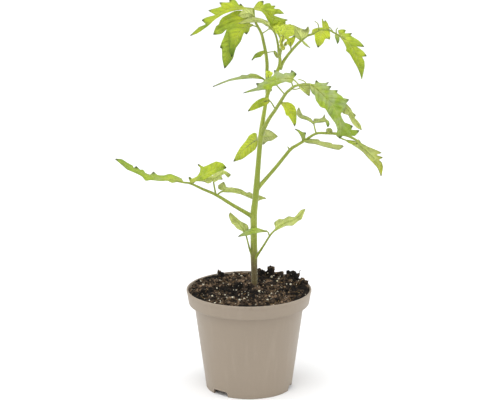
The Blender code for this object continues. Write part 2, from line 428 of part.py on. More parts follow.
def mesh_object(name, bm, finish=None, smooth=True):
    """Turn a bmesh in millimetres into a named object in metres."""
    bmesh.ops.scale(bm, vec=(0.001, 0.001, 0.001), verts=bm.verts)
    mesh = bpy.data.meshes.new(name)
    bm.to_mesh(mesh)
    bm.free()
    if finish:
        mesh.materials.append(finish)
    if smooth:
        mesh.shade_smooth()
        mesh.set_sharp_from_angle(angle=math.radians(35))
    obj = bpy.data.objects.new(name, mesh)
    bpy.context.scene.collection.objects.link(obj)
    return obj


def apply_modifiers(obj):
    """Replace an object's mesh with its evaluated one and drop its modifiers."""
    graph = bpy.context.evaluated_depsgraph_get()
    mesh = bpy.data.meshes.new_from_object(obj.evaluated_get(graph))
    obj.modifiers.clear()
    obj.data = mesh


def boolean(obj, operation, other=None, group=None, solver="MANIFOLD"):
    """Cut or join an object with another one, or with a whole collection, and apply it."""
    step = obj.modifiers.new(operation.title(), "BOOLEAN")
    step.operation = operation
    step.solver = solver
    if group:
        step.operand_type = "COLLECTION"
        step.collection = group
    else:
        step.object = other
    apply_modifiers(obj)


def spline(points, steps):
    """A smooth curve through the given tuples, with some steps between each two of them."""
    rows = [Vector(p) for p in points]
    rows = [2 * rows[0] - rows[1]] + rows + [2 * rows[-1] - rows[-2]]
    curve = []
    for i in range(1, len(rows) - 2):
        p0, p1, p2, p3 = rows[i - 1 : i + 3]
        for k in range(steps):
            t = k / steps
            bend = (2 * p0 - 5 * p1 + 4 * p2 - p3) * t**2 + (3 * p1 - p0 - 3 * p2 + p3) * t**3
            curve.append(0.5 * (2 * p1 + (p2 - p0) * t + bend))
    return curve + [rows[-2]]


def wall_between(bm, rings):
    """Join each ring of points to the next one with a band of faces."""
    for ring, following in zip(rings, rings[1:]):
        for k in range(len(ring)):
            after = (k + 1) % len(ring)
            bm.faces.new((ring[k], ring[after], following[after], following[k]))


def tube(points, sides, steps=2, grow=0.0):
    """A closed tapering tube through (across, up, toward, radius) points."""
    path = [(seen(*p[:3]), p[3] + grow) for p in spline(points, steps)]
    for end, beside in ((0, 1), (-1, -2)):
        centre, radius = path[end]
        path[end] = (centre + grow * (centre - path[beside][0]).normalized(), radius)
    bm = bmesh.new()
    side = Vector((0.0, 1.0, 0.0))
    rings = []
    for i, (centre, radius) in enumerate(path):
        heading = (path[min(i + 1, len(path) - 1)][0] - path[max(i - 1, 0)][0]).normalized()
        side = (side - side.dot(heading) * heading).normalized()
        over = heading.cross(side)
        angles = [math.tau * k / sides for k in range(sides)]
        spots = [centre + radius * (math.cos(a) * side + math.sin(a) * over) for a in angles]
        rings.append([bm.verts.new(spot) for spot in spots])
    wall_between(bm, rings)
    bm.faces.new(rings[0][::-1])
    bm.faces.new(rings[-1])
    bmesh.ops.recalc_face_normals(bm, faces=bm.faces)
    return bm


def place_on(curve, lengths, share):
    """The point of a polyline at a share of its drawn length."""
    goal = share * lengths[-1]
    i = next((k for k in range(1, len(lengths)) if lengths[k] >= goal), len(lengths) - 1)
    part = (goal - lengths[i - 1]) / (lengths[i] - lengths[i - 1])
    return curve[i - 1].lerp(curve[i], min(1.0, part))


def nearest_share(curve, lengths, spot):
    """Which share of the midrib lies nearest to a spot on the sheet, and how far off it is."""
    best = (1e9, 0.0)
    for i in range(1, len(curve)):
        start, end = curve[i - 1].xy, curve[i].xy
        run = end - start
        part = max(0.0, min(1.0, (spot - start).dot(run) / run.length_squared))
        off = (spot - start - part * run).length
        best = min(best, (off, (lengths[i - 1] + part * run.length) / lengths[-1]))
    return best[1], best[0]


def blade(rib, one_side, other_side, lean):
    """One cut blade as a thin closed slab, its two faces split into the same triangles."""
    curve = spline(rib, 2)
    lengths = [0.0]
    for start, end in zip(curve, curve[1:]):
        lengths.append(lengths[-1] + (end.xy - start.xy).length)
    bm = bmesh.new()
    spine = [bm.verts.new((p.x, p.y, 0.0)) for p in curve]
    depths = [p.z for p in curve]
    for outline, slope in ((one_side, lean[0]), (other_side, lean[1])):
        ring = [p.xy for p in curve] + [Vector(p) for p in reversed(outline)]
        side = math.copysign(1.0, sum(a.cross(b) for a, b in zip(ring, ring[1:] + ring[:1])))
        base = curve[0].xy + side * BASE_HALF_WIDTH * (curve[1] - curve[0]).xy.normalized().orthogonal()
        tip = curve[-1].xy + side * TIP_HALF_WIDTH * (curve[-1] - curve[-2]).xy.normalized().orthogonal()
        edge = [base, *map(Vector, outline), tip]
        border = [bm.verts.new((p.x, p.y, 0.0)) for p in edge]
        for spot in edge:
            share, off = nearest_share(curve, lengths, spot)
            depths.append(place_on(curve, lengths, share).z + slope * off)
        bm.faces.new(spine + border[::-1])
    bmesh.ops.recalc_face_normals(bm, faces=bm.faces)
    bmesh.ops.triangulate(bm, faces=bm.faces, ngon_method="BEAUTY")
    for vert, depth in zip(bm.verts, depths):
        vert.co = seen(vert.co.x, vert.co.y, depth)
    return slab(bm, BLADE_THICKNESS)


def slab(bm, thickness):
    """Give an open sheet of triangles a thickness, half of it to each side."""
    bm.normal_update()
    lift = bm.verts.layers.float_vector.new("lift")
    for vert in bm.verts:
        vert[lift] = thickness * vert.normal
        vert.co -= 0.5 * vert[lift]
    made = bmesh.ops.extrude_face_region(bm, geom=bm.faces[:], use_keep_orig=True)
    for item in made["geom"]:
        if isinstance(item, bmesh.types.BMVert):
            item.co += item[lift]
    bm.verts.layers.float_vector.remove(lift)
    bmesh.ops.triangulate(bm, faces=bm.faces)
    bmesh.ops.recalc_face_normals(bm, faces=bm.faces)
    return bm


def fused(name, shapes, finish):
    """Join several closed shapes into one body and give it a name and a finish."""
    main = mesh_object(name, shapes[0], finish)
    group = bpy.data.collections.new(name + "_pieces")
    bpy.context.scene.collection.children.link(group)
    for i, shape in enumerate(shapes[1:]):
        piece = mesh_object(f"{name}_piece_{i}", shape, finish)
        bpy.context.scene.collection.objects.unlink(piece)
        group.objects.link(piece)
    if len(shapes) > 1:
        boolean(main, "UNION", group=group)
    for piece in list(group.objects):
        bpy.data.objects.remove(piece, do_unlink=True)
    bpy.data.collections.remove(group)
    return main


def make_leaf(name, leaf, finish, stem_cutter):
    """One compound leaf: its stalks and blades in one body, its foot cut to the stem's side."""
    shapes = [tube(stalk, STALK_SIDES if i == 0 else TWIG_SIDES) for i, stalk in enumerate(leaf["stalks"])]
    shapes += [blade(*spec) for spec in leaf["blades"]]
    made = fused(name, shapes, finish)
    boolean(made, "DIFFERENCE", stem_cutter)
    drop_scraps(made)
    return made


def drop_scraps(obj):
    """Take out the few faces that a cut leaves on the far side of the cutter."""
    bm = bmesh.new()
    bm.from_mesh(obj.data)
    left = set(bm.verts)
    while left:
        stack = [left.pop()]
        body = set(stack)
        while stack:
            for edge in stack.pop().link_edges:
                stack += [vert for vert in edge.verts if vert in left]
                left -= set(edge.verts)
                body |= set(edge.verts)
        if len(body) < SCRAP_POINTS:
            bmesh.ops.delete(bm, geom=list(body), context="VERTS")
    bm.to_mesh(obj.data)
    bm.free()


def make_buds(finish, stem_cutter):
    """The flower truss: a short stalk with closed, pointed buds."""
    shapes = [tube(FLOWER_TRUSS, TWIG_SIDES)]
    for across, up, toward, half_length, half_width in BUDS:
        bm = bmesh.new()
        bmesh.ops.create_icosphere(bm, subdivisions=1, radius=half_width)
        bmesh.ops.scale(bm, vec=(1, 1, half_length / half_width), verts=bm.verts)
        bmesh.ops.translate(bm, vec=seen(across, up, toward), verts=bm.verts)
        shapes.append(bm)
        root = FLOWER_TRUSS[2][:3]
        shapes.append(tube([(*root, 0.5), (across, up, toward, 0.5)], TWIG_SIDES, steps=1))
    made = fused("flower_buds", shapes, finish)
    boolean(made, "DIFFERENCE", stem_cutter)
    drop_scraps(made)
    return made


def revolve(profile, sides):
    """Spin an (r, z) outline round the pot's axis into a closed body."""
    bm = bmesh.new()
    rows = [bm.verts.new((r, 0.0, z)) for r, z in profile]
    edges = [bm.edges.new((a, b)) for a, b in zip(rows, rows[1:])]
    turn = {"cent": (0, 0, 0), "axis": (0, 0, 1), "angle": math.tau}
    bmesh.ops.spin(bm, geom=rows + edges, steps=sides, use_merge=True, **turn)
    bmesh.ops.remove_doubles(bm, verts=bm.verts, dist=1e-4)
    bmesh.ops.recalc_face_normals(bm, faces=bm.faces)
    return bm


def inner_radius(z):
    """Radius of the pot's inside at a height, below the collar or in it."""
    if z < COLLAR_BOTTOM + WALL:
        return FOOT_RADIUS - WALL + (BODY_TOP_RADIUS - FOOT_RADIUS) * z / COLLAR_BOTTOM
    part = (z - COLLAR_BOTTOM) / (POT_HEIGHT - COLLAR_BOTTOM)
    return COLLAR_FOOT_RADIUS - WALL + (RIM_RADIUS - COLLAR_FOOT_RADIUS) * part


def make_pot(finish):
    """The tapered pot: foot ring, raised floor, body wall, and the collar that steps out to the rim."""
    floor_top = FLOOR_LEVEL + FLOOR_THICKNESS
    ledge = COLLAR_BOTTOM + WALL
    ring_inside = FOOT_RADIUS - 2.2
    corner = 1.6
    profile = [
        (0.0, FLOOR_LEVEL),
        (ring_inside - 1.5, FLOOR_LEVEL),
        (ring_inside, FLOOR_LEVEL - 1.5),
        (ring_inside, 0.0),
        (FOOT_RADIUS - 0.6, 0.0),
        (FOOT_RADIUS, 0.6),
        (BODY_TOP_RADIUS, COLLAR_BOTTOM),
        (COLLAR_FOOT_RADIUS - corner, COLLAR_BOTTOM),
        (COLLAR_FOOT_RADIUS - 0.3 * corner, COLLAR_BOTTOM + 0.3 * corner),
        (COLLAR_FOOT_RADIUS, COLLAR_BOTTOM + corner),
        (RIM_RADIUS, POT_HEIGHT - RIM_ROUNDING),
        (RIM_RADIUS - RIM_ROUNDING, POT_HEIGHT),
        (RIM_RADIUS - WALL + 0.4, POT_HEIGHT),
        (RIM_RADIUS - WALL, POT_HEIGHT - 0.4),
        (inner_radius(ledge + 0.01), ledge),
        (inner_radius(ledge - 0.01), ledge),
        (inner_radius(floor_top), floor_top),
        (0.0, floor_top),
    ]
    pot = mesh_object("pot", revolve(profile, POT_SIDES), finish)
    for angle in NOTCH_ANGLES:
        boolean(pot, "DIFFERENCE", notch_cutter(angle))
        boolean(pot, "DIFFERENCE", drain_cutter(angle))
    return pot


def notch_cutter(angle):
    """A rounded block that cuts a drain notch into the foot ring."""
    half_width = FOOT_RADIUS * math.sin(NOTCH_HALF_ANGLE)
    bm = bmesh.new()
    bmesh.ops.create_cube(bm, size=1.0)
    bmesh.ops.scale(bm, vec=(10.0, 2 * half_width, 2 * NOTCH_HEIGHT), verts=bm.verts)
    high = [e for e in bm.edges if all(v.co.z > 0 for v in e.verts)]
    upper = [e for e in high if abs(e.verts[0].co.y - e.verts[1].co.y) < 1e-6]
    bmesh.ops.bevel(bm, geom=upper, offset=2.6, segments=3, affect="EDGES", profile=0.5, material=-1)
    bmesh.ops.translate(bm, vec=(FOOT_RADIUS - 1.0, 0, 0), verts=bm.verts)
    return turned_cutter("notch_cutter", bm, angle)


def drain_cutter(angle):
    """A round hole through the floor behind a notch."""
    bm = bmesh.new()
    radii = {"radius1": DRAIN_RADIUS, "radius2": DRAIN_RADIUS}
    bmesh.ops.create_cone(bm, cap_ends=True, segments=16, depth=12.0, **radii)
    bmesh.ops.translate(bm, vec=(DRAIN_CIRCLE, 0, FLOOR_LEVEL), verts=bm.verts)
    return turned_cutter("drain_cutter", bm, angle)


def turned_cutter(name, bm, angle):
    """A cutter object, turned about the pot's axis, that is never part of the model."""
    cutter = mesh_object(name, bm, smooth=False)
    cutter.rotation_euler.z = angle
    cutter.hide_render = True
    cutter.display_type = "WIRE"
    bpy.context.view_layer.update()
    return cutter


def soil_height(x, y):
    """Height of the potting mix: a low mound with clods, hollows and a crumbly grain."""
    r = math.hypot(x, y)
    height = POT_HEIGHT - 1.4 + 2.6 * math.exp(-((r / 38.0) ** 2))
    height += 1.5 * noise(Vector((x, y, 3.0)) / 9.0) + 0.9 * noise(Vector((x, y, 8.0)) / 4.2)
    for form_x, form_y, lift, spread in SOIL_FORMS:
        height += lift * math.exp(-((x - form_x) ** 2 + (y - form_y) ** 2) / spread**2)
    return height


def make_soil(finish, stem_hole):
    """The potting mix: fills the pot down to its floor, with an uneven top and the stem's hole."""
    draw = random.Random(7)
    ledge = COLLAR_BOTTOM + WALL
    top = inner_radius(POT_HEIGHT - 6.0) - SOIL_CLEARANCE
    rings = [
        (inner_radius(FLOOR_LEVEL) - SOIL_CLEARANCE, FLOOR_LEVEL + FLOOR_THICKNESS + GAP),
        (inner_radius(ledge - 0.01) - SOIL_CLEARANCE, ledge + GAP),
        (inner_radius(ledge + 0.01) - SOIL_CLEARANCE, ledge + GAP),
    ]
    rings += [(top * (1 - step / SOIL_RINGS), None) for step in range(SOIL_RINGS + 1)]
    bm = bmesh.new()
    made = []
    for number, (radius, z) in enumerate(rings):
        verts = []
        loose = 0.9 * min(1.0, radius / 12.0) if z is None and radius < top else 0.0
        for k in range(SOIL_SIDES):
            angle = math.tau * (k + 0.5 * (number % 2) * (z is None)) / SOIL_SIDES
            reach = radius + loose * draw.uniform(-1.0, 1.0)
            x, y = reach * math.cos(angle), reach * math.sin(angle)
            verts.append(bm.verts.new((x, y, soil_height(x, y) if z is None else z)))
        made.append(verts)
    wall_between(bm, made)
    bm.faces.new(made[0][::-1])
    bmesh.ops.pointmerge(bm, verts=made[-1], merge_co=(0, 0, soil_height(0, 0)))
    bmesh.ops.triangulate(bm, faces=bm.faces)
    bmesh.ops.recalc_face_normals(bm, faces=bm.faces)
    soil = mesh_object("potting_mix", bm, finish)
    boolean(soil, "DIFFERENCE", stem_hole)
    return soil


def main():
    clear_scene()
    leaf_green = material("leaf_green", LEAF_GREEN, 0.55)
    young_green = material("young_leaf_green", YOUNG_GREEN, 0.5)
    stem_green = material("stem_green", STEM_GREEN, 0.6)
    bud_brown = material("bud_brown", BUD_BROWN, 0.6)
    mesh_object("main_stem", tube(STEM, STEM_SIDES, steps=3), stem_green)
    cutter = mesh_object("stem_cutter", tube(STEM, STEM_SIDES, steps=3, grow=GAP), smooth=False)
    cutter.hide_render = True
    cutter.display_type = "WIRE"
    make_pot(material("pot_plastic", POT_TAUPE, 0.5))
    make_soil(material("potting_mix_brown", MIX_BROWN, 0.95), cutter)
    leaves = (LEAF_01, LEAF_02, LEAF_03, LEAF_04, LEAF_05, LEAF_06, LEAF_07, LEAF_08, LEAF_09, LEAF_10)
    for number, leaf in enumerate(leaves, 1):
        make_leaf(f"leaf_{number:02d}", leaf, leaf_green, cutter)
    make_leaf("axil_leaf", AXIL_LEAF, young_green, cutter)
    make_leaf("tip_leaves", TIP_LEAVES, young_green, cutter)
    make_buds(bud_brown, cutter)


main()
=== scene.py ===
# %% [markdown]
# # A potted tomato plant
# The plant is a young vine with ten cut leaves in a tapered plastic pot. Its solids were modelled
# first, at their real size, and they are the frame here: nothing in them moves. Each step below
# builds a finer piece round one of them, or gives it its finish. Sizes in the cells are
# millimetres, and a mesh is turned into metres when its object is made.

import json
import math
import random

import bmesh
import bpy
from mathutils import Matrix, Vector
from mathutils.kdtree import KDTree
from mathutils.noise import noise, voronoi

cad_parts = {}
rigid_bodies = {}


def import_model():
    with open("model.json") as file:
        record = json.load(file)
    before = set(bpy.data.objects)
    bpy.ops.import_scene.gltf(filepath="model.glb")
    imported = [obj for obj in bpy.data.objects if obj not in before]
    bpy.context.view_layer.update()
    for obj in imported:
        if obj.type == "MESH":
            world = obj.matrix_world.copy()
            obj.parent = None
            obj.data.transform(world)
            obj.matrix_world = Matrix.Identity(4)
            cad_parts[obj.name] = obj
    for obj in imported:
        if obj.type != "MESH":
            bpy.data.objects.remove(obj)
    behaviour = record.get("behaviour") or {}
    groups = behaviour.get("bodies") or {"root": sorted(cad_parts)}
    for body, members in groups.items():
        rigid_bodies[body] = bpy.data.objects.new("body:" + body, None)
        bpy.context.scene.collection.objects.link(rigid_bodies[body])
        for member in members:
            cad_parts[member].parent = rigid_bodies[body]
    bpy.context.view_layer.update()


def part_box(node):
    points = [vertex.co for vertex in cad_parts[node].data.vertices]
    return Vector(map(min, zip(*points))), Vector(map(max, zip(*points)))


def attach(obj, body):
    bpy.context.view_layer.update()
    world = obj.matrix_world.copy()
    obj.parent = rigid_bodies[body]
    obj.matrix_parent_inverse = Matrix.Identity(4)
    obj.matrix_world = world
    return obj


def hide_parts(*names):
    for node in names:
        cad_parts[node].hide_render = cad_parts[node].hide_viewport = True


for startup_object in list(bpy.data.objects):
    bpy.data.objects.remove(startup_object, do_unlink=True)
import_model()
MM = 0.001


def new_object(name, data):
    """A new object in the scene."""
    made = bpy.data.objects.new(name, data)
    bpy.context.scene.collection.objects.link(made)
    return made


# %% [markdown]
# The camera stands about 2.3 m in front of the plant and looks down on it by 14.7 degrees, with a
# long lens, so the picture is nearly a drawing to scale. The leaves were laid out on a sheet that
# stands on the pot's axis, square to the line of sight, and the lens is chosen so that the sheet
# fills the frame at 500 by 400 mm. Measuring the camera from the same sheet keeps both in step.

# %% The drawing sheet and the camera
SIGHT_TILT = math.radians(14.7)
SHEET_LEVEL = 102.4
EYE_DISTANCE = 2291.0
SHEET_CENTRE = (1.0, 88.0)
SHEET_WIDTH = 500.0
SENSOR_WIDTH = 36.0
SHEET_UP = Vector((0.0, math.sin(SIGHT_TILT), math.cos(SIGHT_TILT)))
SIGHT_LINE = Vector((0.0, math.cos(SIGHT_TILT), -math.sin(SIGHT_TILT)))
SHEET_ORIGIN = Vector((0.0, 0.0, SHEET_LEVEL))
EYE_TARGET = SHEET_ORIGIN + Vector((SHEET_CENTRE[0], 0, 0)) + SHEET_CENTRE[1] * SHEET_UP
EYE = EYE_TARGET - EYE_DISTANCE * SIGHT_LINE


def seen(across, up, toward):
    """The point that the eye sees at (across, up) on the sheet, standing toward mm before the axis."""
    on_sheet = SHEET_ORIGIN + Vector((across, 0, 0)) + up * SHEET_UP
    ray = on_sheet - EYE
    return EYE + ray * ((-toward - EYE.y) / ray.y)


camera_data = bpy.data.cameras.new("camera")
camera_data.sensor_width = SENSOR_WIDTH
camera_data.lens = SENSOR_WIDTH * EYE_DISTANCE / SHEET_WIDTH
camera_data.clip_end = 50.0
camera = new_object("camera", camera_data)
camera.location = EYE * MM
camera.rotation_euler = (math.pi / 2 - SIGHT_TILT, 0.0, 0.0)
bpy.context.scene.camera = camera
print("lens in mm:", round(camera_data.lens, 2))

# %% [markdown]
# The light is a plain studio tent: a pale floor, pale air all round, and soft lamps. Most of the light
# comes from above, so the blades that face up are bright and the ones that hang are deeper green. Two
# lamps stand at the sides a little behind the plant, which brightens the pot's edges. The upper lights
# are suns with a wide disc: they light the whole floor alike, so it stays evenly pale to the horizon.

# %% Studio light and floor
def new_light(name, kind, energy, heading):
    """A light of some kind that shines along a heading, and the object that holds it."""
    light = bpy.data.lights.new(name, kind)
    light.energy = energy
    holder = new_object(name, light)
    holder.rotation_euler = Vector(heading).to_track_quat("-Z", "Y").to_euler()
    return light, holder


def aimed_lamp(name, place, aim, width, power):
    """A square soft lamp at a place in metres, turned to its aim."""
    lamp, holder = new_light(name, "AREA", power, Vector(aim) - Vector(place))
    lamp.shape = "SQUARE"
    lamp.size = width
    holder.location = place


def wide_sun(name, heading, disc, strength):
    """A sun that shines along a heading, softened to a disc of some degrees."""
    new_light(name, "SUN", strength, heading)[0].angle = math.radians(disc)


AIM = (0.0, 0.0, 0.2)
LAMP_WIDTH = 1.3
wide_sun("upper_sun", (0.1, 0.3, -1.0), 50.0, 1.36)
wide_sun("front_sun", (0.15, 1.0, -0.75), 70.0, 0.7)
aimed_lamp("left_lamp", (-1.5, 0.25, 0.8), AIM, LAMP_WIDTH, 8.6)
aimed_lamp("right_lamp", (1.5, 0.25, 0.8), AIM, LAMP_WIDTH, 9.6)
world = bpy.data.worlds.new("pale_air")
world.use_nodes = True
air = world.node_tree.nodes["Background"].inputs
air["Color"].default_value = (0.98, 0.99, 1.0, 1.0)
air["Strength"].default_value = 0.73
bpy.context.scene.world = world
bpy.context.scene.view_settings.view_transform = "Standard"

floor_mesh = bpy.data.meshes.new("floor")
floor_paint = bpy.data.materials.new("pale_floor")
floor_paint.use_nodes = True
paint = floor_paint.node_tree.nodes["Principled BSDF"].inputs
paint["Base Color"].default_value = (0.86, 0.86, 0.86, 1.0)
paint["Roughness"].default_value = 0.9
floor_mesh.materials.append(floor_paint)
floor_bm = bmesh.new()
bmesh.ops.create_grid(floor_bm, x_segments=2, y_segments=2, size=10.0)
floor_bm.to_mesh(floor_mesh)
floor_bm.free()
floor = new_object("floor", floor_mesh)

# %% [markdown]
# Every finish is a tree of shader nodes. Writing each node out by hand takes many lines, so a few
# small helpers place a node, set it and link it in one line. Colours are written as the eye reads
# them, from 0 to 255, and turned into the linear values that the renderer works with. Shaders see the
# finished mesh, so lengths and heights in a finish are metres, and patterns are counted per metre.

# %% Helpers for finishes
def colour(red, green, blue):
    """A linear colour from one written as 0 to 255 for the eye."""
    parts = [part / 255 for part in (red, green, blue)]
    return (*[p / 12.92 if p <= 0.04045 else ((p + 0.055) / 1.055) ** 2.4 for p in parts], 1.0)


def place(tree, kind, inputs=(), **options):
    """Add a shader node with its options, and set or link its inputs."""
    made = tree.nodes.new(kind)
    for option, value in options.items():
        setattr(made, option, value)
    for socket, value in dict(inputs).items():
        if isinstance(value, bpy.types.NodeSocket):
            tree.links.new(value, made.inputs[socket])
        else:
            made.inputs[socket].default_value = value
    return made


def maths(tree, operation, first, second=0.0, third=0.0):
    """The result of one sum on values."""
    inputs = {0: first, 1: second, 2: third}
    return place(tree, "ShaderNodeMath", inputs, operation=operation).outputs[0]


def times(tree, first, second):
    """The product of two values."""
    return maths(tree, "MULTIPLY", first, second)


def blended(tree, share, first, second):
    """Two colours blended by a share."""
    inputs = {0: share, 6: first, 7: second}
    return place(tree, "ShaderNodeMix", inputs, data_type="RGBA").outputs[2]


def tinted(tree, base, mask, share, tint):
    """A colour with a share of a tint laid over it where a mask is."""
    return blended(tree, times(tree, mask, share), base, tint)


def ranged(tree, value, low, high, to_low=0.0, to_high=1.0):
    """A value carried smoothly from one range to another."""
    inputs = {"Value": value, "From Min": low, "From Max": high, "To Min": to_low, "To Max": to_high}
    return place(tree, "ShaderNodeMapRange", inputs, interpolation_type="SMOOTHSTEP").outputs[0]


def cloudy(tree, where, scale, detail=3.0, roughness=0.55):
    """Soft noise from 0 to 1, with a number of clouds per metre."""
    inputs = {"Vector": where, "Scale": scale, "Detail": detail, "Roughness": roughness}
    return place(tree, "ShaderNodeTexNoise", inputs).outputs[0]


def cells(tree, where, scale):
    """The outputs of a pattern of cells, with a number of them per metre."""
    return place(tree, "ShaderNodeTexVoronoi", {"Vector": where, "Scale": scale}).outputs


def bumped(tree, height, distance, strength, normal=None):
    """The normal of a relief that is a distance deep, laid over another normal if there is one."""
    inputs = {"Height": height, "Distance": distance, "Strength": strength}
    if normal is not None:
        inputs["Normal"] = normal
    return place(tree, "ShaderNodeBump", inputs).outputs[0]


def parts_of(tree, vector):
    """The X, Y and Z of a vector."""
    return place(tree, "ShaderNodeSeparateXYZ", {0: vector}).outputs


def point_numbers(tree, name):
    """The three numbers that a piece keeps on each of its points under a name."""
    return parts_of(tree, place(tree, "ShaderNodeAttribute", (), attribute_name=name).outputs["Vector"])


def wire(tree, sockets, values):
    """Link values to the sockets that they are named for."""
    for name, value in values.items():
        tree.links.new(value, sockets[name])


def own_place(tree):
    """The point of the surface, in the piece's own metres."""
    return place(tree, "ShaderNodeTexCoord").outputs["Object"]


def new_group(name, inputs, outputs):
    """An empty node group with named sockets, and its two ends."""
    group = bpy.data.node_groups.new(name, "ShaderNodeTree")
    for way, sockets in (("INPUT", inputs), ("OUTPUT", outputs)):
        for socket, kind in sockets.items():
            group.interface.new_socket(socket, in_out=way, socket_type="NodeSocket" + kind)
    return group, group.nodes.new("NodeGroupInput").outputs, group.nodes.new("NodeGroupOutput").inputs


def new_finish(name, roughness, **sockets):
    """A material with one Principled shader, whose even values are set on its own sockets."""
    made = bpy.data.materials.new(name)
    made.use_nodes = True
    tree = made.node_tree
    shader = tree.nodes["Principled BSDF"]
    shader.inputs["Roughness"].default_value = roughness
    for socket, value in sockets.items():
        shader.inputs[socket.replace("_", " ")].default_value = value
    return made, tree, shader

# %% [markdown]
# A leaf isn't one green. Three effects are shared by several finishes, so each is a node group that
# is built once: soft mottling, which shifts a colour lighter and darker in clouds; the net of veins,
# which follows the blade; and the down of fine hairs that makes a tomato plant look soft. The groups
# give out colours, masks and normals only, and the shader itself stays in each material.

# %% Shared effects: mottling and down
def make_mottling():
    """A group that shifts a colour in large clouds and in fine grains."""
    inputs = {"Colour": "Color", "Scale": "Float", "Clouds": "Float", "Grains": "Float"}
    group, given, out = new_group("mottling", inputs, {"Colour": "Color", "Value": "Float"})
    where = own_place(group)
    clouds = cloudy(group, where, given["Scale"], 2.0)
    grains = cloudy(group, where, times(group, given["Scale"], 14.0), 2.0)
    shift = times(group, maths(group, "SUBTRACT", clouds, 0.5), given["Clouds"])
    fine = times(group, maths(group, "SUBTRACT", grains, 0.5), given["Grains"])
    value = maths(group, "ADD", maths(group, "ADD", shift, fine), 1.0)
    adjusted = place(group, "ShaderNodeHueSaturation", {"Value": value, "Color": given["Colour"]})
    wire(group, out, {"Colour": adjusted.outputs[0], "Value": clouds})
    return group


def make_down():
    """A group that bends the light as a nap of short fine hairs does, over a given relief."""
    inputs = {"Relief": "Float", "Relief Depth": "Float", "Hair Depth": "Float"}
    group, given, out = new_group("down", inputs, {"Normal": "Vector"})
    hairs = cloudy(group, own_place(group), 2600.0, 1.0)
    nap = bumped(group, hairs, given["Hair Depth"], 0.35)
    wire(group, out, {"Normal": bumped(group, given["Relief"], given["Relief Depth"], 0.8, nap)})
    return group


MOTTLING = make_mottling()
DOWN = make_down()


def placed_group(tree, group, inputs):
    """The outputs of a group placed in a tree, with its named inputs set or linked."""
    return place(tree, "ShaderNodeGroup", inputs, node_tree=group).outputs


def mottled(tree, base, scale, clouds, grains):
    """A colour shifted by the mottling group, and the group's clouds."""
    made = placed_group(tree, MOTTLING, {"Colour": base, "Scale": scale, "Clouds": clouds, "Grains": grains})
    return made["Colour"], made["Value"]


def downy_normal(tree, relief, relief_depth, hair_depth):
    """The normal that the down group gives for a relief."""
    inputs = {"Relief": relief, "Relief Depth": relief_depth, "Hair Depth": hair_depth}
    return placed_group(tree, DOWN, inputs)["Normal"]


print("shared effects:", [group.name for group in bpy.data.node_groups])

# %% [markdown]
# The veins have to follow each leaflet, whichever way it points, so they can't come from a place in
# space. When a blade is made, every point of it is given its own numbers: how far it lies off the
# midrib, how many side veins lie between it and the stalk, how near it is to the margin, and which
# face it belongs to. The group below turns these into masks for the midrib, the side veins and the
# fine net between them.

# %% Shared effect: the net of veins
VEIN_NUMBERS = "vein_numbers"
FACE_NUMBERS = "face_numbers"
OWN_NUMBERS = "own_numbers"
DAMPNESS_AND_PIT_SHADE = "dampness"


def make_veins():
    """A group that draws the midrib, the side veins and the net from the blade's own numbers."""
    outputs = dict.fromkeys(("Veins", "Net", "Relief", "Underside", "Margin", "Base", "Teeth", "Tone",
                             "Shaded Edge", "Outer"), "Float")
    group, given, out = new_group("vein_net", {"Wander": "Float"}, outputs)
    where = own_place(group)
    count, off, share = point_numbers(group, VEIN_NUMBERS)
    under, margin, spacing = point_numbers(group, FACE_NUMBERS)
    tone, tooth, deep = point_numbers(group, OWN_NUMBERS)
    drift = maths(group, "SUBTRACT", cloudy(group, where, 170.0), 0.5)
    drift = times(group, drift, given["Wander"])
    turn = maths(group, "FRACT", maths(group, "ADD", maths(group, "ADD", count, drift), 0.5))
    from_vein = maths(group, "ABSOLUTE", maths(group, "SUBTRACT", turn, 0.5))
    from_vein = times(group, from_vein, spacing)
    side_vein = ranged(group, from_vein, 0.1, 0.55, 1.0, 0.0)
    side_vein = times(group, side_vein, ranged(group, margin, 0.15, 0.85, 1.0, 0.15))
    breadth = maths(group, "MULTIPLY_ADD", share, -0.55, 0.85)
    midrib = ranged(group, maths(group, "DIVIDE", off, breadth), 0.45, 1.0, 1.0, 0.0)
    meshes = place(group, "ShaderNodeTexVoronoi", {"Vector": where, "Scale": 620.0, "Randomness": 0.9},
                   feature="DISTANCE_TO_EDGE")
    net = ranged(group, meshes.outputs["Distance"], 0.02, 0.16, 1.0, 0.0)
    veins = maths(group, "MAXIMUM", midrib, side_vein)
    sunk = maths(group, "ADD", times(group, veins, 0.7), times(group, net, 0.3))
    way = maths(group, "MULTIPLY_ADD", under, 2.0, -1.0)
    by_the_rib = ranged(group, off, 0.8, 5.0, 1.0, 0.0)
    by_the_stalk = ranged(group, share, 0.0, 0.34, 1.0, 0.0)
    # Outer is a mask for painted shade, darker towards the tip of each blade.
    outer = times(group, ranged(group, share, 0.45, 1.0), 0.9)
    # The shaded edge is a mask for painted shade along the edges and tip of chosen halves.
    soft_margin = ranged(group, maths(group, "POWER", margin, 0.4), 0.1, 0.92)
    at_edge = times(group, soft_margin, ranged(group, share, 0.1, 0.8, 0.0, 0.7))
    wire(group, out, {
        "Veins": veins, "Net": net, "Relief": times(group, sunk, way), "Underside": under,
        "Margin": margin, "Tone": tone, "Teeth": ranged(group, tooth, 0.1, 0.95),
        "Base": times(group, by_the_rib, by_the_stalk), "Outer": ranged(group, share, 0.35, 1.0),
        "Shaded Edge": times(group, deep, maths(group, "MAXIMUM", at_edge, outer)),
    })
    return group


VEINS = make_veins()
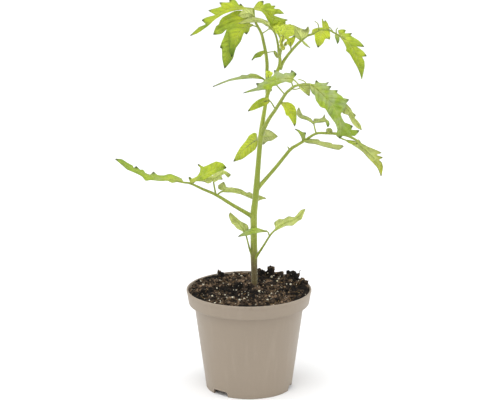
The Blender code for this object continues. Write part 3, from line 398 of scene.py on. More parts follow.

# %% [markdown]
# On one plant the young blades are lime, the old ones a grey green, and each blade has a tone of its
# own between them, kept on its points as one more number. The tone is partly painted light: blades that
# lie in shade get a lighter tone, and a greyer tone paints sheen where light glances off a blade. The
# finish runs along a ramp of three greens by that tone, adds painted shade as darker green in clouds
# that stand for folds, towards the tips and along the edges of some halves, paler veins and base, dark
# tooth tips, and the pale underside, painted a shaded olive towards its tip. A thin leaf also lets light
# through, so the Principled shader is mixed with a little Translucent, which is what makes real leaves glow.

# %% Leaf finishes
LEAF_LIME = colour(203, 216, 46)
YOUNG_LIME = colour(238, 252, 98)
LEAF_GREEN = colour(163, 188, 54)
GREY_GREEN = colour(175, 190, 130)
FOLD_SHADE_GREEN = colour(106, 144, 32)
SHADE_GREEN = colour(78, 116, 26)
VEIN_PALE = colour(202, 210, 116)
BASE_PALE = colour(200, 204, 104)
TOOTH_OLIVE = colour(58, 68, 30)
UNDER_LIME = colour(220, 230, 138)
UNDER_PALE = colour(190, 198, 120)
UNDER_GREY = colour(148, 162, 104)
UNDER_DEEP = colour(148, 161, 80)
UNDER_VEIN = colour(212, 214, 150)
UNDER_SHADE_OLIVE = colour(172, 176, 40)


def toned(tree, tone, young, middle, old):
    """A colour from a ramp of three, by a tone from 0 to 1."""
    younger = blended(tree, ranged(tree, tone, 0.0, 0.5), young, middle)
    return blended(tree, ranged(tree, tone, 0.5, 1.0), younger, old)


def blade_finish(name, lime, glow, shade_and_base_share, teeth):
    """A soft green blade: toned, veined, downy, paler below, with painted shade in folds, tips and some
    edges, and a little see-through to light.
    """
    made, tree, shader = new_finish(name, 0.5, Specular_IOR_Level=0.26, Sheen_Weight=0.07,
                                    Sheen_Roughness=0.4, Sheen_Tint=colour(235, 240, 205))
    where = own_place(tree)
    net = placed_group(tree, VEINS, {"Wander": 0.34})
    drift = maths(tree, "SUBTRACT", cloudy(tree, where, 80.0, 2.0), 0.5)
    spread = maths(tree, "MULTIPLY_ADD", net["Tone"], 1.8, 0.4)
    tone = maths(tree, "MULTIPLY_ADD", drift, spread, net["Tone"])
    # Painted shade: darker green in soft clouds stands for the shade in the blade's folds.
    fold_shade = ranged(tree, cloudy(tree, where, 58.0, 2.0), 0.5, 0.72)
    green = toned(tree, tone, lime, LEAF_GREEN, GREY_GREEN)
    # Outer lays painted shade, a darker green towards each blade's tip.
    for mask, share, tint in ((fold_shade, shade_and_base_share, FOLD_SHADE_GREEN), (net["Outer"], 0.6 * shade_and_base_share, FOLD_SHADE_GREEN),
                              (net["Net"], 0.1, VEIN_PALE), (net["Veins"], 0.34, VEIN_PALE),
                              (net["Base"], 0.95 * shade_and_base_share, BASE_PALE)):
        green = tinted(tree, green, mask, share, tint)
    deep = ranged(tree, cloudy(tree, where, 85.0, 2.0), 0.42, 0.66)
    pale = toned(tree, tone, UNDER_LIME, UNDER_PALE, UNDER_GREY)
    # On the underside, Outer lays painted shade, olive towards the tip.
    for mask, share, tint in ((deep, 0.6, UNDER_DEEP), (net["Veins"], 0.5, UNDER_VEIN),
                              (net["Outer"], 0.25, UNDER_SHADE_OLIVE)):
        pale = tinted(tree, pale, mask, share, tint)
    green = blended(tree, net["Underside"], green, pale)
    edge = ranged(tree, net["Margin"], 0.6, 0.97)
    edge = times(tree, edge, ranged(tree, cloudy(tree, where, 130.0), 0.44, 0.64))
    tooth = times(tree, net["Teeth"], ranged(tree, cloudy(tree, where, 75.0, 1.0), 0.2, 0.45))
    tooth = times(tree, tooth, ranged(tree, net["Underside"], 0.0, 1.0, 1.0, 0.45))
    edge = maths(tree, "MAXIMUM", times(tree, edge, 0.5), times(tree, tooth, teeth))
    # Painted shade: deep green, or olive on the underside, along the edges and tip of the chosen halves.
    shade_colour = blended(tree, net["Underside"], SHADE_GREEN, UNDER_SHADE_OLIVE)
    green = blended(tree, net["Shaded Edge"], green, shade_colour)
    green = blended(tree, edge, green, TOOTH_OLIVE)
    green, clouds = mottled(tree, green, 110.0, 0.4, 0.38)
    normal = downy_normal(tree, net["Relief"], 0.0008, 0.00014)
    wire(tree, shader.inputs, {"Base Color": green, "Roughness": ranged(tree, clouds, 0.3, 0.7, 0.42, 0.6),
                               "Normal": normal})
    through = place(tree, "ShaderNodeBsdfTranslucent", {"Color": green, "Normal": normal})
    mixed = place(tree, "ShaderNodeMixShader", {0: glow, 1: shader.outputs[0], 2: through.outputs[0]})
    wire(tree, tree.nodes["Material Output"].inputs, {"Surface": mixed.outputs[0]})
    return made


LEAF_FINISH = blade_finish("leaf_blade", LEAF_LIME, 0.22, 0.55, 0.9)
YOUNG_FINISH = blade_finish("young_blade", YOUNG_LIME, 0.35, 0.05, 0.2)

# %% [markdown]
# The stem is brownish where it is old, low in the pot, and green higher up, darker along its
# middle, with long pale streaks.
# Height is simply Z here, because the stem stands upright. The stalks of the leaves share the green
# but not the brown foot, and the midribs are the same green, paler.

# %% Stem and stalk finishes
STEM_FOOT = 0.103
STEM_GREEN_FROM = 0.150
MID_STEM_GREEN = (128, 142, 44)


def stalk_finish(name, green, pale, foot=None, streaked=0.55):
    """A fresh downy stalk with long pale streaks, and a woodier foot and a darker middle band if it has a
    foot.
    """
    made, tree, shader = new_finish(name, 0.5, Specular_IOR_Level=0.35, Sheen_Weight=0.3,
                                    Sheen_Roughness=0.45, Sheen_Tint=colour(240, 240, 215))
    where = own_place(tree)
    streaks = place(tree, "ShaderNodeMapping", {"Vector": where, "Scale": (1.0, 1.0, 0.09)}).outputs[0]
    lines = cloudy(tree, streaks, 620.0, 2.0)
    base, clouds = mottled(tree, colour(*green), 90.0, 0.22, 0.1)
    base = tinted(tree, base, ranged(tree, lines, 0.45, 0.7), streaked, colour(*pale))
    if foot:
        ragged = times(tree, cloudy(tree, streaks, 300.0), 0.03)
        height = maths(tree, "ADD", parts_of(tree, where)[2], ragged)
        # A band of darker green along the middle of the stem.
        above = ranged(tree, height, STEM_GREEN_FROM + 0.02, STEM_GREEN_FROM + 0.08, 0.3, 1.0)
        below = ranged(tree, height, STEM_GREEN_FROM + 0.1, STEM_GREEN_FROM + 0.15, 1.0, 0.0)
        base = blended(tree, maths(tree, "MINIMUM", above, below), base, colour(*MID_STEM_GREEN))
        old = ranged(tree, height, STEM_FOOT + 0.034, STEM_GREEN_FROM + 0.02, 1.0, 0.0)
        bark, clouds = mottled(tree, colour(*foot), 240.0, 0.45, 0.3)
        base = blended(tree, old, base, bark)
    wire(tree, shader.inputs, {"Base Color": base, "Roughness": ranged(tree, clouds, 0.3, 0.7, 0.42, 0.6),
                               "Normal": downy_normal(tree, lines, 0.0003, 0.00012)})
    return made


STEM_FINISH = stalk_finish("stem_skin", (143, 156, 52), (188, 197, 90), (97, 85, 54))
STALK_FINISH = stalk_finish("stalk_skin", (128, 142, 46), (168, 178, 82))
RIB_FINISH = stalk_finish("midrib_skin", (164, 180, 76), (196, 204, 116))


def hair_finish():
    """Clear, pale plant hairs."""
    made, tree, shader = new_finish("plant_hair", 0.35, Specular_IOR_Level=0.5)
    wire(tree, shader.inputs, {"Base Color": mottled(tree, colour(222, 226, 190), 400.0, 0.2, 0.1)[0]})
    return made


HAIR_FINISH = hair_finish()
print("finishes:", [made.name for made in bpy.data.materials])

# %% [markdown]
# The pot is moulded from grey-brown plastic. Close up such a pot has a fine matt grain, faint
# upright drag marks from the mould, softer clouds where it was handled, and a little dry mix rubbed
# on near the rim. All of that is small: from a step away it reads as one calm taupe.

# %% Pot finish
DUSTY_BAND = (0.0945, 0.1022)


def pot_finish():
    """Matt taupe plastic with grain, drag marks and a little dust below the rim."""
    made, tree, shader = new_finish("pot_plastic", 0.45, Specular_IOR_Level=0.42, Coat_Roughness=0.5)
    where = own_place(tree)
    base, clouds = mottled(tree, colour(145, 132, 116), 26.0, 0.09, 0.05)
    drags = place(tree, "ShaderNodeMapping", {"Vector": where, "Scale": (1.0, 1.0, 0.05)}).outputs[0]
    drag = cloudy(tree, drags, 140.0, 4.0)
    base = blended(tree, ranged(tree, drag, 0.5, 0.8, 0.0, 0.14), base, colour(176, 165, 150))
    specks = ranged(tree, cells(tree, where, 520.0)["Distance"], 0.08, 0.16, 1.0, 0.0)
    specks = times(tree, specks, ranged(tree, cloudy(tree, where, 60.0), 0.56, 0.7))
    base = tinted(tree, base, specks, 0.35, colour(118, 106, 91))
    dust = ranged(tree, parts_of(tree, where)[2], *DUSTY_BAND)
    dust = times(tree, dust, ranged(tree, cloudy(tree, where, 260.0, 5.0, 0.7), 0.5, 0.72))
    base = tinted(tree, base, dust, 0.45, colour(120, 100, 78))
    grain = bumped(tree, cloudy(tree, where, 1500.0, 3.0), 0.00012, 0.5)
    wire(tree, shader.inputs, {"Base Color": base, "Roughness": ranged(tree, clouds, 0.3, 0.7, 0.38, 0.52),
                               "Normal": bumped(tree, drag, 0.0005, 0.35, grain)})
    return made


POT_FINISH = pot_finish()

# %% [markdown]
# Potting mix is peat, bark and fibre, nearly black where it is damp and brown where it has dried,
# with grains of white perlite and straw-coloured fibres. The grains and fibres are pieces of their
# own further down. Here the mix gets its crumbs as relief, with painted shade that darkens the pits
# and the gaps between the crumbs.

# %% Potting mix, perlite and fibre finishes
def crumb_finish(name, dark, brown, straw, straw_share, relief=0.0012):
    """Rough crumbs, each of its own shade from dark to brown and darkened at its border as painted shade in
    the gaps, with some straw-coloured grains.
    """
    made, tree, shader = new_finish(name, 0.92, Specular_IOR_Level=0.12)
    where = own_place(tree)
    crumbs = cloudy(tree, where, 210.0, 7.0, 0.7)
    ragged = place(tree, "ShaderNodeTexNoise", {"Vector": where, "Scale": 320.0, "Detail": 3.0})
    shift = {0: ragged.outputs["Color"], 1: (0.005, 0.005, 0.005), 2: where}
    spot = place(tree, "ShaderNodeVectorMath", shift, operation="MULTIPLY_ADD").outputs["Vector"]
    lumps = cells(tree, spot, 310.0)
    shade = place(tree, "ShaderNodeSeparateColor", {0: lumps["Color"]}).outputs[0]
    # Painted shade: each crumb darkens towards its border, for the shade in the gaps between crumbs.
    core = ranged(tree, lumps["Distance"], 0.36, 0.66, 1.0, 0.0)
    shade = times(tree, ranged(tree, shade, 0.38, 0.95), core)
    fine = times(tree, ranged(tree, crumbs, 0.44, 0.64), 0.42)
    shade = maths(tree, "MULTIPLY_ADD", shade, 0.8, fine)
    base = blended(tree, shade, colour(*dark), colour(*brown))
    # The dampness attribute also carries painted shade that darkens the pits between crumbs.
    damp_and_pit_shade = place(tree, "ShaderNodeAttribute", (), attribute_name=DAMPNESS_AND_PIT_SHADE).outputs["Fac"]
    damp_and_pit_shade = maths(tree, "ADD", damp_and_pit_shade, times(tree, cloudy(tree, where, 95.0, 3.0), 1.5))
    damp_and_pit_shade = ranged(tree, damp_and_pit_shade, 0.7, 1.02)
    base = tinted(tree, base, damp_and_pit_shade, 0.92, colour(*dark))
    chips = cells(tree, where, 560.0)
    chosen = place(tree, "ShaderNodeSeparateColor", {0: chips["Color"]}).outputs[0]
    bar = maths(tree, "MULTIPLY_ADD", damp_and_pit_shade, 0.8 * straw_share, 1.0 - straw_share)
    chosen = maths(tree, "GREATER_THAN", chosen, bar)
    base = tinted(tree, base, chosen, ranged(tree, chips["Distance"], 0.25, 0.5, 1.0, 0.0), colour(*straw))
    height = maths(tree, "MULTIPLY_ADD", core, 0.4, crumbs)
    wire(tree, shader.inputs, {"Base Color": base, "Roughness": ranged(tree, damp_and_pit_shade, 0.0, 1.0, 0.95, 0.82),
                               "Normal": bumped(tree, height, relief, 0.9)})
    return made


MIX_FINISH = crumb_finish("potting_mix_crumbs", (13, 11, 9), (128, 106, 84), (162, 140, 112), 0.06)
CLOD_FINISH = crumb_finish("dark_clods", (22, 19, 16), (116, 97, 78), (146, 126, 98), 0.04)
# Painted light: the blocks are the same peat as the mix, given lighter colours to offset the shade on their
# front faces.
BLOCK_FINISH_LIGHTENED = crumb_finish("torn_peat_lightened", (52, 44, 36), (138, 115, 92), (150, 130, 104), 0.04)
PERLITE_FINISH = crumb_finish("perlite", (204, 196, 172), (240, 234, 216), (206, 190, 150), 0.2, 0.0003)
FIBRE_FINISH = crumb_finish("straw_fibre", (96, 74, 46), (166, 136, 92), (196, 170, 122), 0.2, 0.0002)

# %% [markdown]
# The plant's layout is drawn, as in its solids. A place is (across, up, toward): millimetres
# right of the pot's axis and above its rim as drawn on the sheet, then how far the point stands out of
# the sheet to the viewer. A stalk is a list of such places with a radius. A blade is its midrib from
# base to tip, the outlines of its two halves, and how steeply each half leans to the viewer for each
# millimetre out from the midrib.

# %% Layout of the stem, leaves and buds
STEM = [
    (5.4, -18, -12, 2.9), (5.4, 8, -12, 3.1), (5.0, 29, -11, 3.4), (5.0, 34, -11, 3.7),
    (4.9, 42, -10.5, 3.4), (4.8, 60, -9, 3.3), (4.8, 74, -8, 3.45), (6.3, 88, -7, 3.05),
    (7.6, 102, -6, 3.1), (8.8, 118, -5, 2.6), (10.6, 140, -4, 2.45), (12.4, 157, -3, 2.5),
    (15.5, 178, -3, 1.95), (18, 191, -3, 1.95), (21, 201, -3, 1.95), (27.5, 215, -3, 1.75),
    (30.8, 224, -3, 1.65), (30.5, 236, -3, 1.3),
]

LEAF_01 = {
    "stalks": [
        [(4, 31, -10, 1.1), (1.2, 37, -9, 0.95), (-1.2, 46, -6, 0.8), (-2.9, 52.5, -4, 0.75),
         (-6, 60, 0, 0.5)],
    ],
    "blades": [
        ([(-2.9, 52.5, -4), (-5, 58, -1), (-12, 67, 5), (-18.9, 75.5, 10)],
         [(-1, 57), (-0.4, 60.1), (-1.5, 63.3), (-8.3, 66.8), (-14.2, 72)],
         [(-6.1, 56.3), (-12.1, 59.5), (-15.3, 63.3), (-17, 64.4), (-20.2, 72.5)], (-0.4, 0.3)),
    ],
}
LEAF_02 = {
    "stalks": [
        [(5.8, 29.5, -9.5, 1.4), (8.8, 33.6, -8, 1.25), (15, 43, -3, 1.05), (21, 52.5, 2, 0.95),
         (26, 58, 4.5, 0.85), (32, 63.2, 8, 0.5)],
        [(20.5, 52, 1.6, 0.7), (18.2, 56.6, 1.6, 0.6), (12, 57.2, 0.8, 0.45)],
    ],
    "blades": [
        ([(25, 57, 4), (36, 65.5, 10), (46, 69, 15), (56.2, 79, 18)],
         [(26.4, 60.1), (25, 65), (30.2, 69.3), (34, 68.7), (39.4, 71.7), (45.4, 70.9), (51.9, 78)],
         [(30.2, 59), (37.2, 62.2), (43.7, 62.5), (49.2, 67.1), (52.4, 68.7), (54.6, 74.2)],
         (-0.6, 0.7)),
        ([(18.2, 56.8, 1.5), (11, 57.2, 0.8), (1, 56.2, 1), (-5, 53.7, 2.5), (-11, 51.4, 4)],
         [(15, 58), (10.7, 59.5), (6.9, 60.3), (0, 59), (-6.1, 55.4)],
         [(13.9, 55.7), (7.4, 54.8), (0, 52.8), (-5.6, 51.8)], (-0.5, 0.5)),
    ],
}
LEAF_03 = {
    "stalks": [
        [(4.5, 70.8, -8, 2.2), (0, 73.5, -7, 2.1), (-17, 83.4, -4, 1.8), (-33, 93.2, -1, 1.6),
         (-46, 98.8, 1, 1.35), (-58.5, 104.5, 3, 1.15), (-66.5, 105.7, 4, 0.95), (-80, 108.4, 8, 0.6)],
        [(-33, 93, -1, 0.9), (-35, 103, -3, 0.8), (-36, 110, -4, 0.65)],
        [(-32, 92.8, -1.5, 0.9), (-28, 96, -5, 0.85), (-21, 97.3, -9, 0.65)],
        [(-57, 104.2, 3, 0.85), (-50, 110.2, 7, 0.7)],
    ],
    "blades": [
        ([(-66, 105.8, 4), (-80, 108.5, 8), (-95, 111, 11), (-110, 116.4, 13), (-133.6, 129, 12)],
         [(-67.6, 109.4), (-73.7, 112.2), (-79, 114.1), (-85.4, 112.5), (-91.6, 113), (-95.6, 116.3),
          (-98.8, 113.3), (-103.6, 115), (-106, 118.2), (-109, 118.2), (-112.8, 121.8), (-115.2, 120),
          (-116.4, 122.3), (-122, 125.3), (-127, 128.6)],
         [(-72, 106.2), (-76.8, 105.1), (-81.2, 107.3), (-88.5, 107), (-98, 108), (-103.2, 107.3),
          (-107.2, 111.8), (-115.8, 116), (-121.8, 118.5), (-126.5, 122.6)], (-2.4, 2.4)),
        ([(-58.5, 105.5, 3), (-50, 110.5, 7), (-38, 117, 12), (-30, 120, 15), (-22.5, 120.3, 18)],
         [(-60.4, 110.2), (-59.2, 111.2), (-56.8, 109.4), (-51.8, 111.8), (-49, 116), (-48.6, 120),
          (-51.4, 123.2), (-50.4, 123.9), (-45.4, 121.2), (-32.8, 126.5), (-26.1, 124.6)],
         [(-52, 107.2), (-45, 108), (-38.5, 112), (-30.9, 116.4), (-26, 118)], (-0.8, 1.0)),
        ([(-36, 109.5, -4), (-30.5, 112.6, -6.5), (-25.2, 115.9, -9), (-21.8, 113.6, -11),
          (-18.2, 113.2, -12)],
         [(-36, 115), (-31, 118.5), (-25.4, 118), (-21.6, 116)],
         [(-35.6, 105.8), (-32.7, 106.8), (-30.2, 108.4), (-26.3, 108.6), (-27.6, 112.3),
          (-24.6, 113.9), (-20.9, 110.4)], (-1.0, 0.6)),
        ([(-35.5, 110, -4), (-42, 109.4, -3.5), (-49, 108.8, -2), (-54.5, 107, 0)],
         [(-40, 115.5), (-46, 115), (-51, 111.4)],
         [(-37.5, 105.8), (-41, 104.5), (-45, 106.3), (-50, 106.8)], (-1.0, 0.8)),
        ([(-26, 96.8, -6), (-19, 97.3, -10), (-9, 96.3, -17), (1, 92, -22), (9.8, 90.2, -25),
          (17.2, 89.6, -27)],
         [(-28, 97.8), (-30.9, 99.7), (-30.9, 102.6), (-25.1, 106.4), (-22.3, 100.9), (-17.5, 100.7),
          (-7.9, 98.8), (-2.2, 95.4), (1.2, 95.9), (3.6, 94.2), (10, 93)],
         [(-24.2, 95.7), (-16.5, 95.4), (-7.9, 93.6), (2.6, 89.2), (9.6, 87.4), (13, 88.6)],
         (-0.8, 0.6)),
    ],
}
LEAF_04 = {
    "stalks": [
        [(7.4, 98.2, -6, 2.2), (11.8, 103.4, -7, 2.0), (26.6, 120.4, -11, 1.8), (41, 138, -15, 1.7),
         (47.3, 142.4, -17, 1.55), (53.2, 146, -19, 1.45), (57.9, 149, -21, 1.35),
         (67.4, 154.5, -24, 1.25), (77.5, 154.8, -27, 1.35), (88, 154.2, -30, 1.45),
         (97, 152.8, -32, 1.4), (103, 150.3, -33, 1.3), (109, 146.5, -34, 1.0), (118, 137, -35.5, 0.5)],
        [(40.8, 137.4, -15, 0.9), (38.7, 141.4, -14, 0.5)],
        [(67.2, 154.5, -24, 0.8), (65.6, 160.5, -27, 0.7), (64.9, 164.7, -29, 0.7)],
        [(87.8, 152.6, -30, 0.8), (91.5, 150, -30.5, 0.85), (100, 146.5, -31.3, 0.6)],
    ],
    "blades": [
        ([(53.6, 147.3, -19), (54, 151.6, -17), (52.3, 154.9, -15), (46, 159, -12)],
         [(52.6, 149.6), (51, 153.2), (49.2, 156)],
         [(56.2, 150), (56.4, 153), (57, 155.4), (53.2, 156), (49.6, 158.2)], (0.8, -0.6)),
        ([(54.5, 147, -19), (66, 146.4, -13), (79, 143.5, -5), (94.6, 141.8, 4)],
         [(57.5, 149.2), (64.2, 148.9), (69.8, 148.5), (71.2, 146.8), (82.4, 145), (83.5, 143.8),
          (92, 143.1)],
         [(58.5, 144.9), (66.3, 144), (74.7, 141.5), (83.1, 139.4), (90.1, 138.2)], (-2.4, 2.4)),
        ([(64.9, 164.2, -29), (60, 168.5, -33), (54, 171.2, -37), (49.8, 180.5, -41)],
         [(62, 169.4), (57, 172), (53.6, 173), (51.6, 177)],
         [(61.6, 165.9), (57.8, 168), (51.5, 169.8), (48, 173.1), (48.2, 178)], (-1.6, 1.4)),
        ([(64.3, 165, -29), (71, 167, -32), (77.8, 168, -35)],
         [(65, 169.3), (71.2, 169.4), (73.8, 171), (75.4, 173.8), (76.4, 170)],
         [(67.7, 165.2), (71.2, 165.3), (76.2, 166.2)], (-1.5, 1.2)),
        ([(76.4, 168.4, -34.5), (78.5, 165, -33), (78.9, 160.8, -31)],
         [(76.4, 166), (77.5, 163)],
         [(79.6, 167), (80.5, 163.6)], (0.6, -0.6)),
        ([(79.6, 154.6, -27.5), (79.8, 157, -26), (81.4, 159.8, -24)],
         [(77.3, 156.4), (77.3, 158.8), (79, 159.8)],
         [(83.6, 155.6), (83, 158.6)], (0.5, -0.5)),
        ([(97.5, 147.6, -31), (102, 146.2, -32), (108.2, 144.2, -33)],
         [(99.2, 148), (105.6, 147)],
         [(99.6, 145), (104.2, 143.6)], (-1.0, 1.0)),
        ([(107, 147.6, -34), (114, 141, -35), (122, 133.5, -36), (128, 126, -34), (132.2, 111.7, -33)],
         [(109.8, 148.6), (112.6, 144.9), (120.3, 140.8), (127.3, 138), (132.6, 135.2), (127.3, 133.1),
          (134, 130.6), (130.1, 128.2), (132.9, 125.4), (134, 120.5)],
         [(102, 144.4), (108.4, 140.1), (114, 135.9), (118.9, 130.3), (125.2, 124), (128.7, 119.8)],
         (-0.6, 0.5)),
    ],
}
LEAF_05 = {
    "stalks": [
        [(11.2, 145.5, -4.5, 1.9), (11, 148, -11, 1.6), (10.5, 150, -25, 1.3), (9.5, 150.5, -42, 1.1)],
        [(10, 150.4, -36, 0.85), (6.5, 147.6, -42.5, 0.75), (1, 143.5, -49, 0.6), (-3, 140, -55, 0.45)],
        [(9.7, 150.5, -39, 0.85), (12.5, 151.2, -44, 0.7), (17, 151.8, -49, 0.55)],
    ],
    "blades": [
        ([(8.5, 149, -41), (1, 143.5, -49), (-7, 136, -62), (-15.4, 126.5, -76)],
         [(7.5, 154.5), (4.9, 155.2), (0.4, 152.6), (-3.4, 146.8), (-8.5, 140.8), (-13, 133)],
         [(8.5, 143.5), (6.4, 138.5), (0, 133.7), (-6.6, 129)], (-0.7, 0.5)),
        ([(9.2, 150.4, -41), (17, 151.8, -49), (28.7, 151.6, -62)],
         [(10, 155), (16.9, 158.5), (19.8, 158.2), (23.2, 156.4)],
         [(11, 145.4), (14.6, 143.5), (18.6, 146.7), (22.7, 147.3), (25, 148.7)], (-0.9, 0.9)),
    ],
}
LEAF_06 = {
    "stalks": [
        [(12.5, 154.1, -3, 2.2), (15.3, 160.4, 0.5, 2.1), (20.5, 169.9, 7, 1.9),
         (25.8, 177.4, 13, 1.75), (31.8, 186.8, 21, 1.65), (36.8, 194.4, 28, 1.5),
         (41.3, 198.6, 33, 1.4), (44.6, 201.2, 37, 1.3), (49, 202.8, 42, 1.15), (55, 203.4, 48, 1.05),
         (61.9, 203.5, 54, 0.95), (69, 198, 58, 0.8), (78, 189, 62, 0.5)],
        [(26, 179.5, 14, 0.65), (20.6, 187.3, 15, 0.6), (15, 186.5, 15, 0.45)],
        [(35.3, 194, 27, 0.65), (27.5, 202.9, 27, 0.6), (25.5, 205, 26, 0.5)],
        [(43.8, 201.3, 36, 0.65), (42.4, 206.5, 35, 0.6)],
        [(49.8, 203.2, 42, 0.65), (43.5, 208.9, 36, 0.65), (35, 209.5, 31, 0.5)],
        [(42.2, 199.5, 34, 0.65), (46, 198.6, 38, 0.55), (51.6, 200, 44, 0.5)],
        [(57.5, 203.4, 50, 0.6), (55.8, 206.3, 48, 0.5), (52.4, 208, 46, 0.45), (49.3, 208.8, 44, 0.4)],
        [(31, 186.4, 20.5, 0.65), (33.5, 183.5, 21, 0.6), (38.5, 180, 26, 0.5)],
    ],
    "blades": [
        ([(20.8, 187.3, 15), (13, 186, 14), (6, 182, 17), (-1.1, 176.7, 21)],
         [(19, 190.5), (13.5, 190.1), (7.8, 187.3), (3, 182.9)],
         [(19.5, 184.5), (14.5, 182), (4.9, 178)], (-0.5, 0.5)),
        ([(31.8, 185.4, 20.5), (38, 181, 26), (42.5, 174, 31), (45.7, 161.6, 37)],
         [(35.2, 185.8), (39, 185.8), (42.8, 184.3), (45.5, 181.6), (47.4, 176.6), (47.4, 170),
          (47.1, 164.8)],
         [(34.4, 180.5), (35.9, 176.6), (37, 172.8), (39.4, 171.8), (43, 166)], (-0.5, 0.4)),
        ([(44.3, 208.7, 37), (35, 209.5, 31), (23, 206.3, 27), (11, 200.4, 27), (-5.7, 194.9, 31)],
         [(45.7, 211.1), (47.6, 213.9), (42.6, 218), (41.4, 214.9), (36.1, 215.2), (34.7, 213.9),
          (29.9, 215.8), (25.1, 218), (25.1, 212.7), (17, 209.1), (15.6, 207.4), (12, 205), (7, 204.7),
          (8.4, 200.9), (3, 198.8)],
         [(42.8, 204.8), (36.6, 206.1), (29.9, 204), (27.1, 202.3), (23.7, 201.8), (22.3, 199),
          (16, 198.5), (9, 197.3), (3, 196.3)], (-0.6, 0.5)),
        ([(49.8, 203.4, 43), (55.5, 198.5, 46), (60.4, 192, 48)],
         [(51, 199.4), (56.2, 194.8)],
         [(54.3, 205), (60.6, 203), (61.2, 197)], (0.5, -0.4)),
        ([(61.4, 203.6, 54), (64, 198, 53), (65.2, 193.3, 52)],
         [(61.4, 199), (63, 195.2)],
         [(65.6, 201), (66.4, 196)], (0.4, -0.4)),
        ([(61, 203.8, 54), (71, 196, 59), (81, 186, 63), (88, 175, 68), (92, 163, 72),
          (90.5, 149.5, 76)],
         [(65.6, 203.9), (67, 207.8), (70.5, 205.2), (76.8, 205), (80, 206), (77.5, 202.3),
          (82.4, 201.7), (80.3, 198.3), (85.9, 197.8), (88.7, 197.8), (88, 195.2), (92.6, 191.9),
          (94.3, 189.9), (100, 188.5), (97.1, 184.5), (95.4, 179), (91.6, 173.8), (95.4, 165.6),
          (100, 164), (103.8, 161.9), (102.1, 158.4), (110.5, 157.6), (105.6, 152), (95, 153)],
         [(61.4, 199.8), (62.8, 195.5), (65.6, 193.1), (67.3, 187.1), (71.9, 180.8), (76.1, 179.4),
          (79.6, 173.8), (83.1, 168.9), (86.6, 164), (88.3, 158.4), (87.6, 154.1)], (-0.55, 0.35)),
        ([(83, 187, 62.2), (88.5, 186, 59), (97, 181, 57), (104, 172, 58.5), (112.6, 158, 62)],
         [(97, 184.6), (102.1, 179), (103.5, 175.9), (107, 172.9), (105.6, 170.5), (109.1, 166.8),
          (111.9, 162.6)],
         [(90.5, 181), (92.6, 176.4), (95, 174.2), (99.2, 173), (100.7, 170), (103.5, 164.7),
          (107.7, 160.5)], (-0.4, 0.4)),
    ],
}
LEAF_07 = {
    "stalks": [
        [(18.2, 192, -5, 1.3), (17.5, 197, -9.5, 1.1), (17.5, 203, -11, 1.0), (16, 207.4, -10.5, 0.95),
         (12.5, 210, -9, 0.85), (8, 211, -8, 0.75), (0, 211.2, -9, 0.5)],
    ],
    "blades": [
        ([(13.4, 209.6, -9.3), (7, 211.4, -8), (-4, 211, -11), (-17, 208.3, -16), (-36.1, 201.3, -24)],
         [(9.8, 212.6), (6.9, 213.8), (1.4, 214.4), (-2, 212.8), (-7, 213.1), (-9, 211.6), (-12, 210.8),
          (-19, 208.9), (-28, 205.4)],
         [(9, 209.3), (3.5, 209.7), (-8, 208.9), (-19, 207.2), (-28, 204.1)], (-2.0, 2.0)),
    ],
}
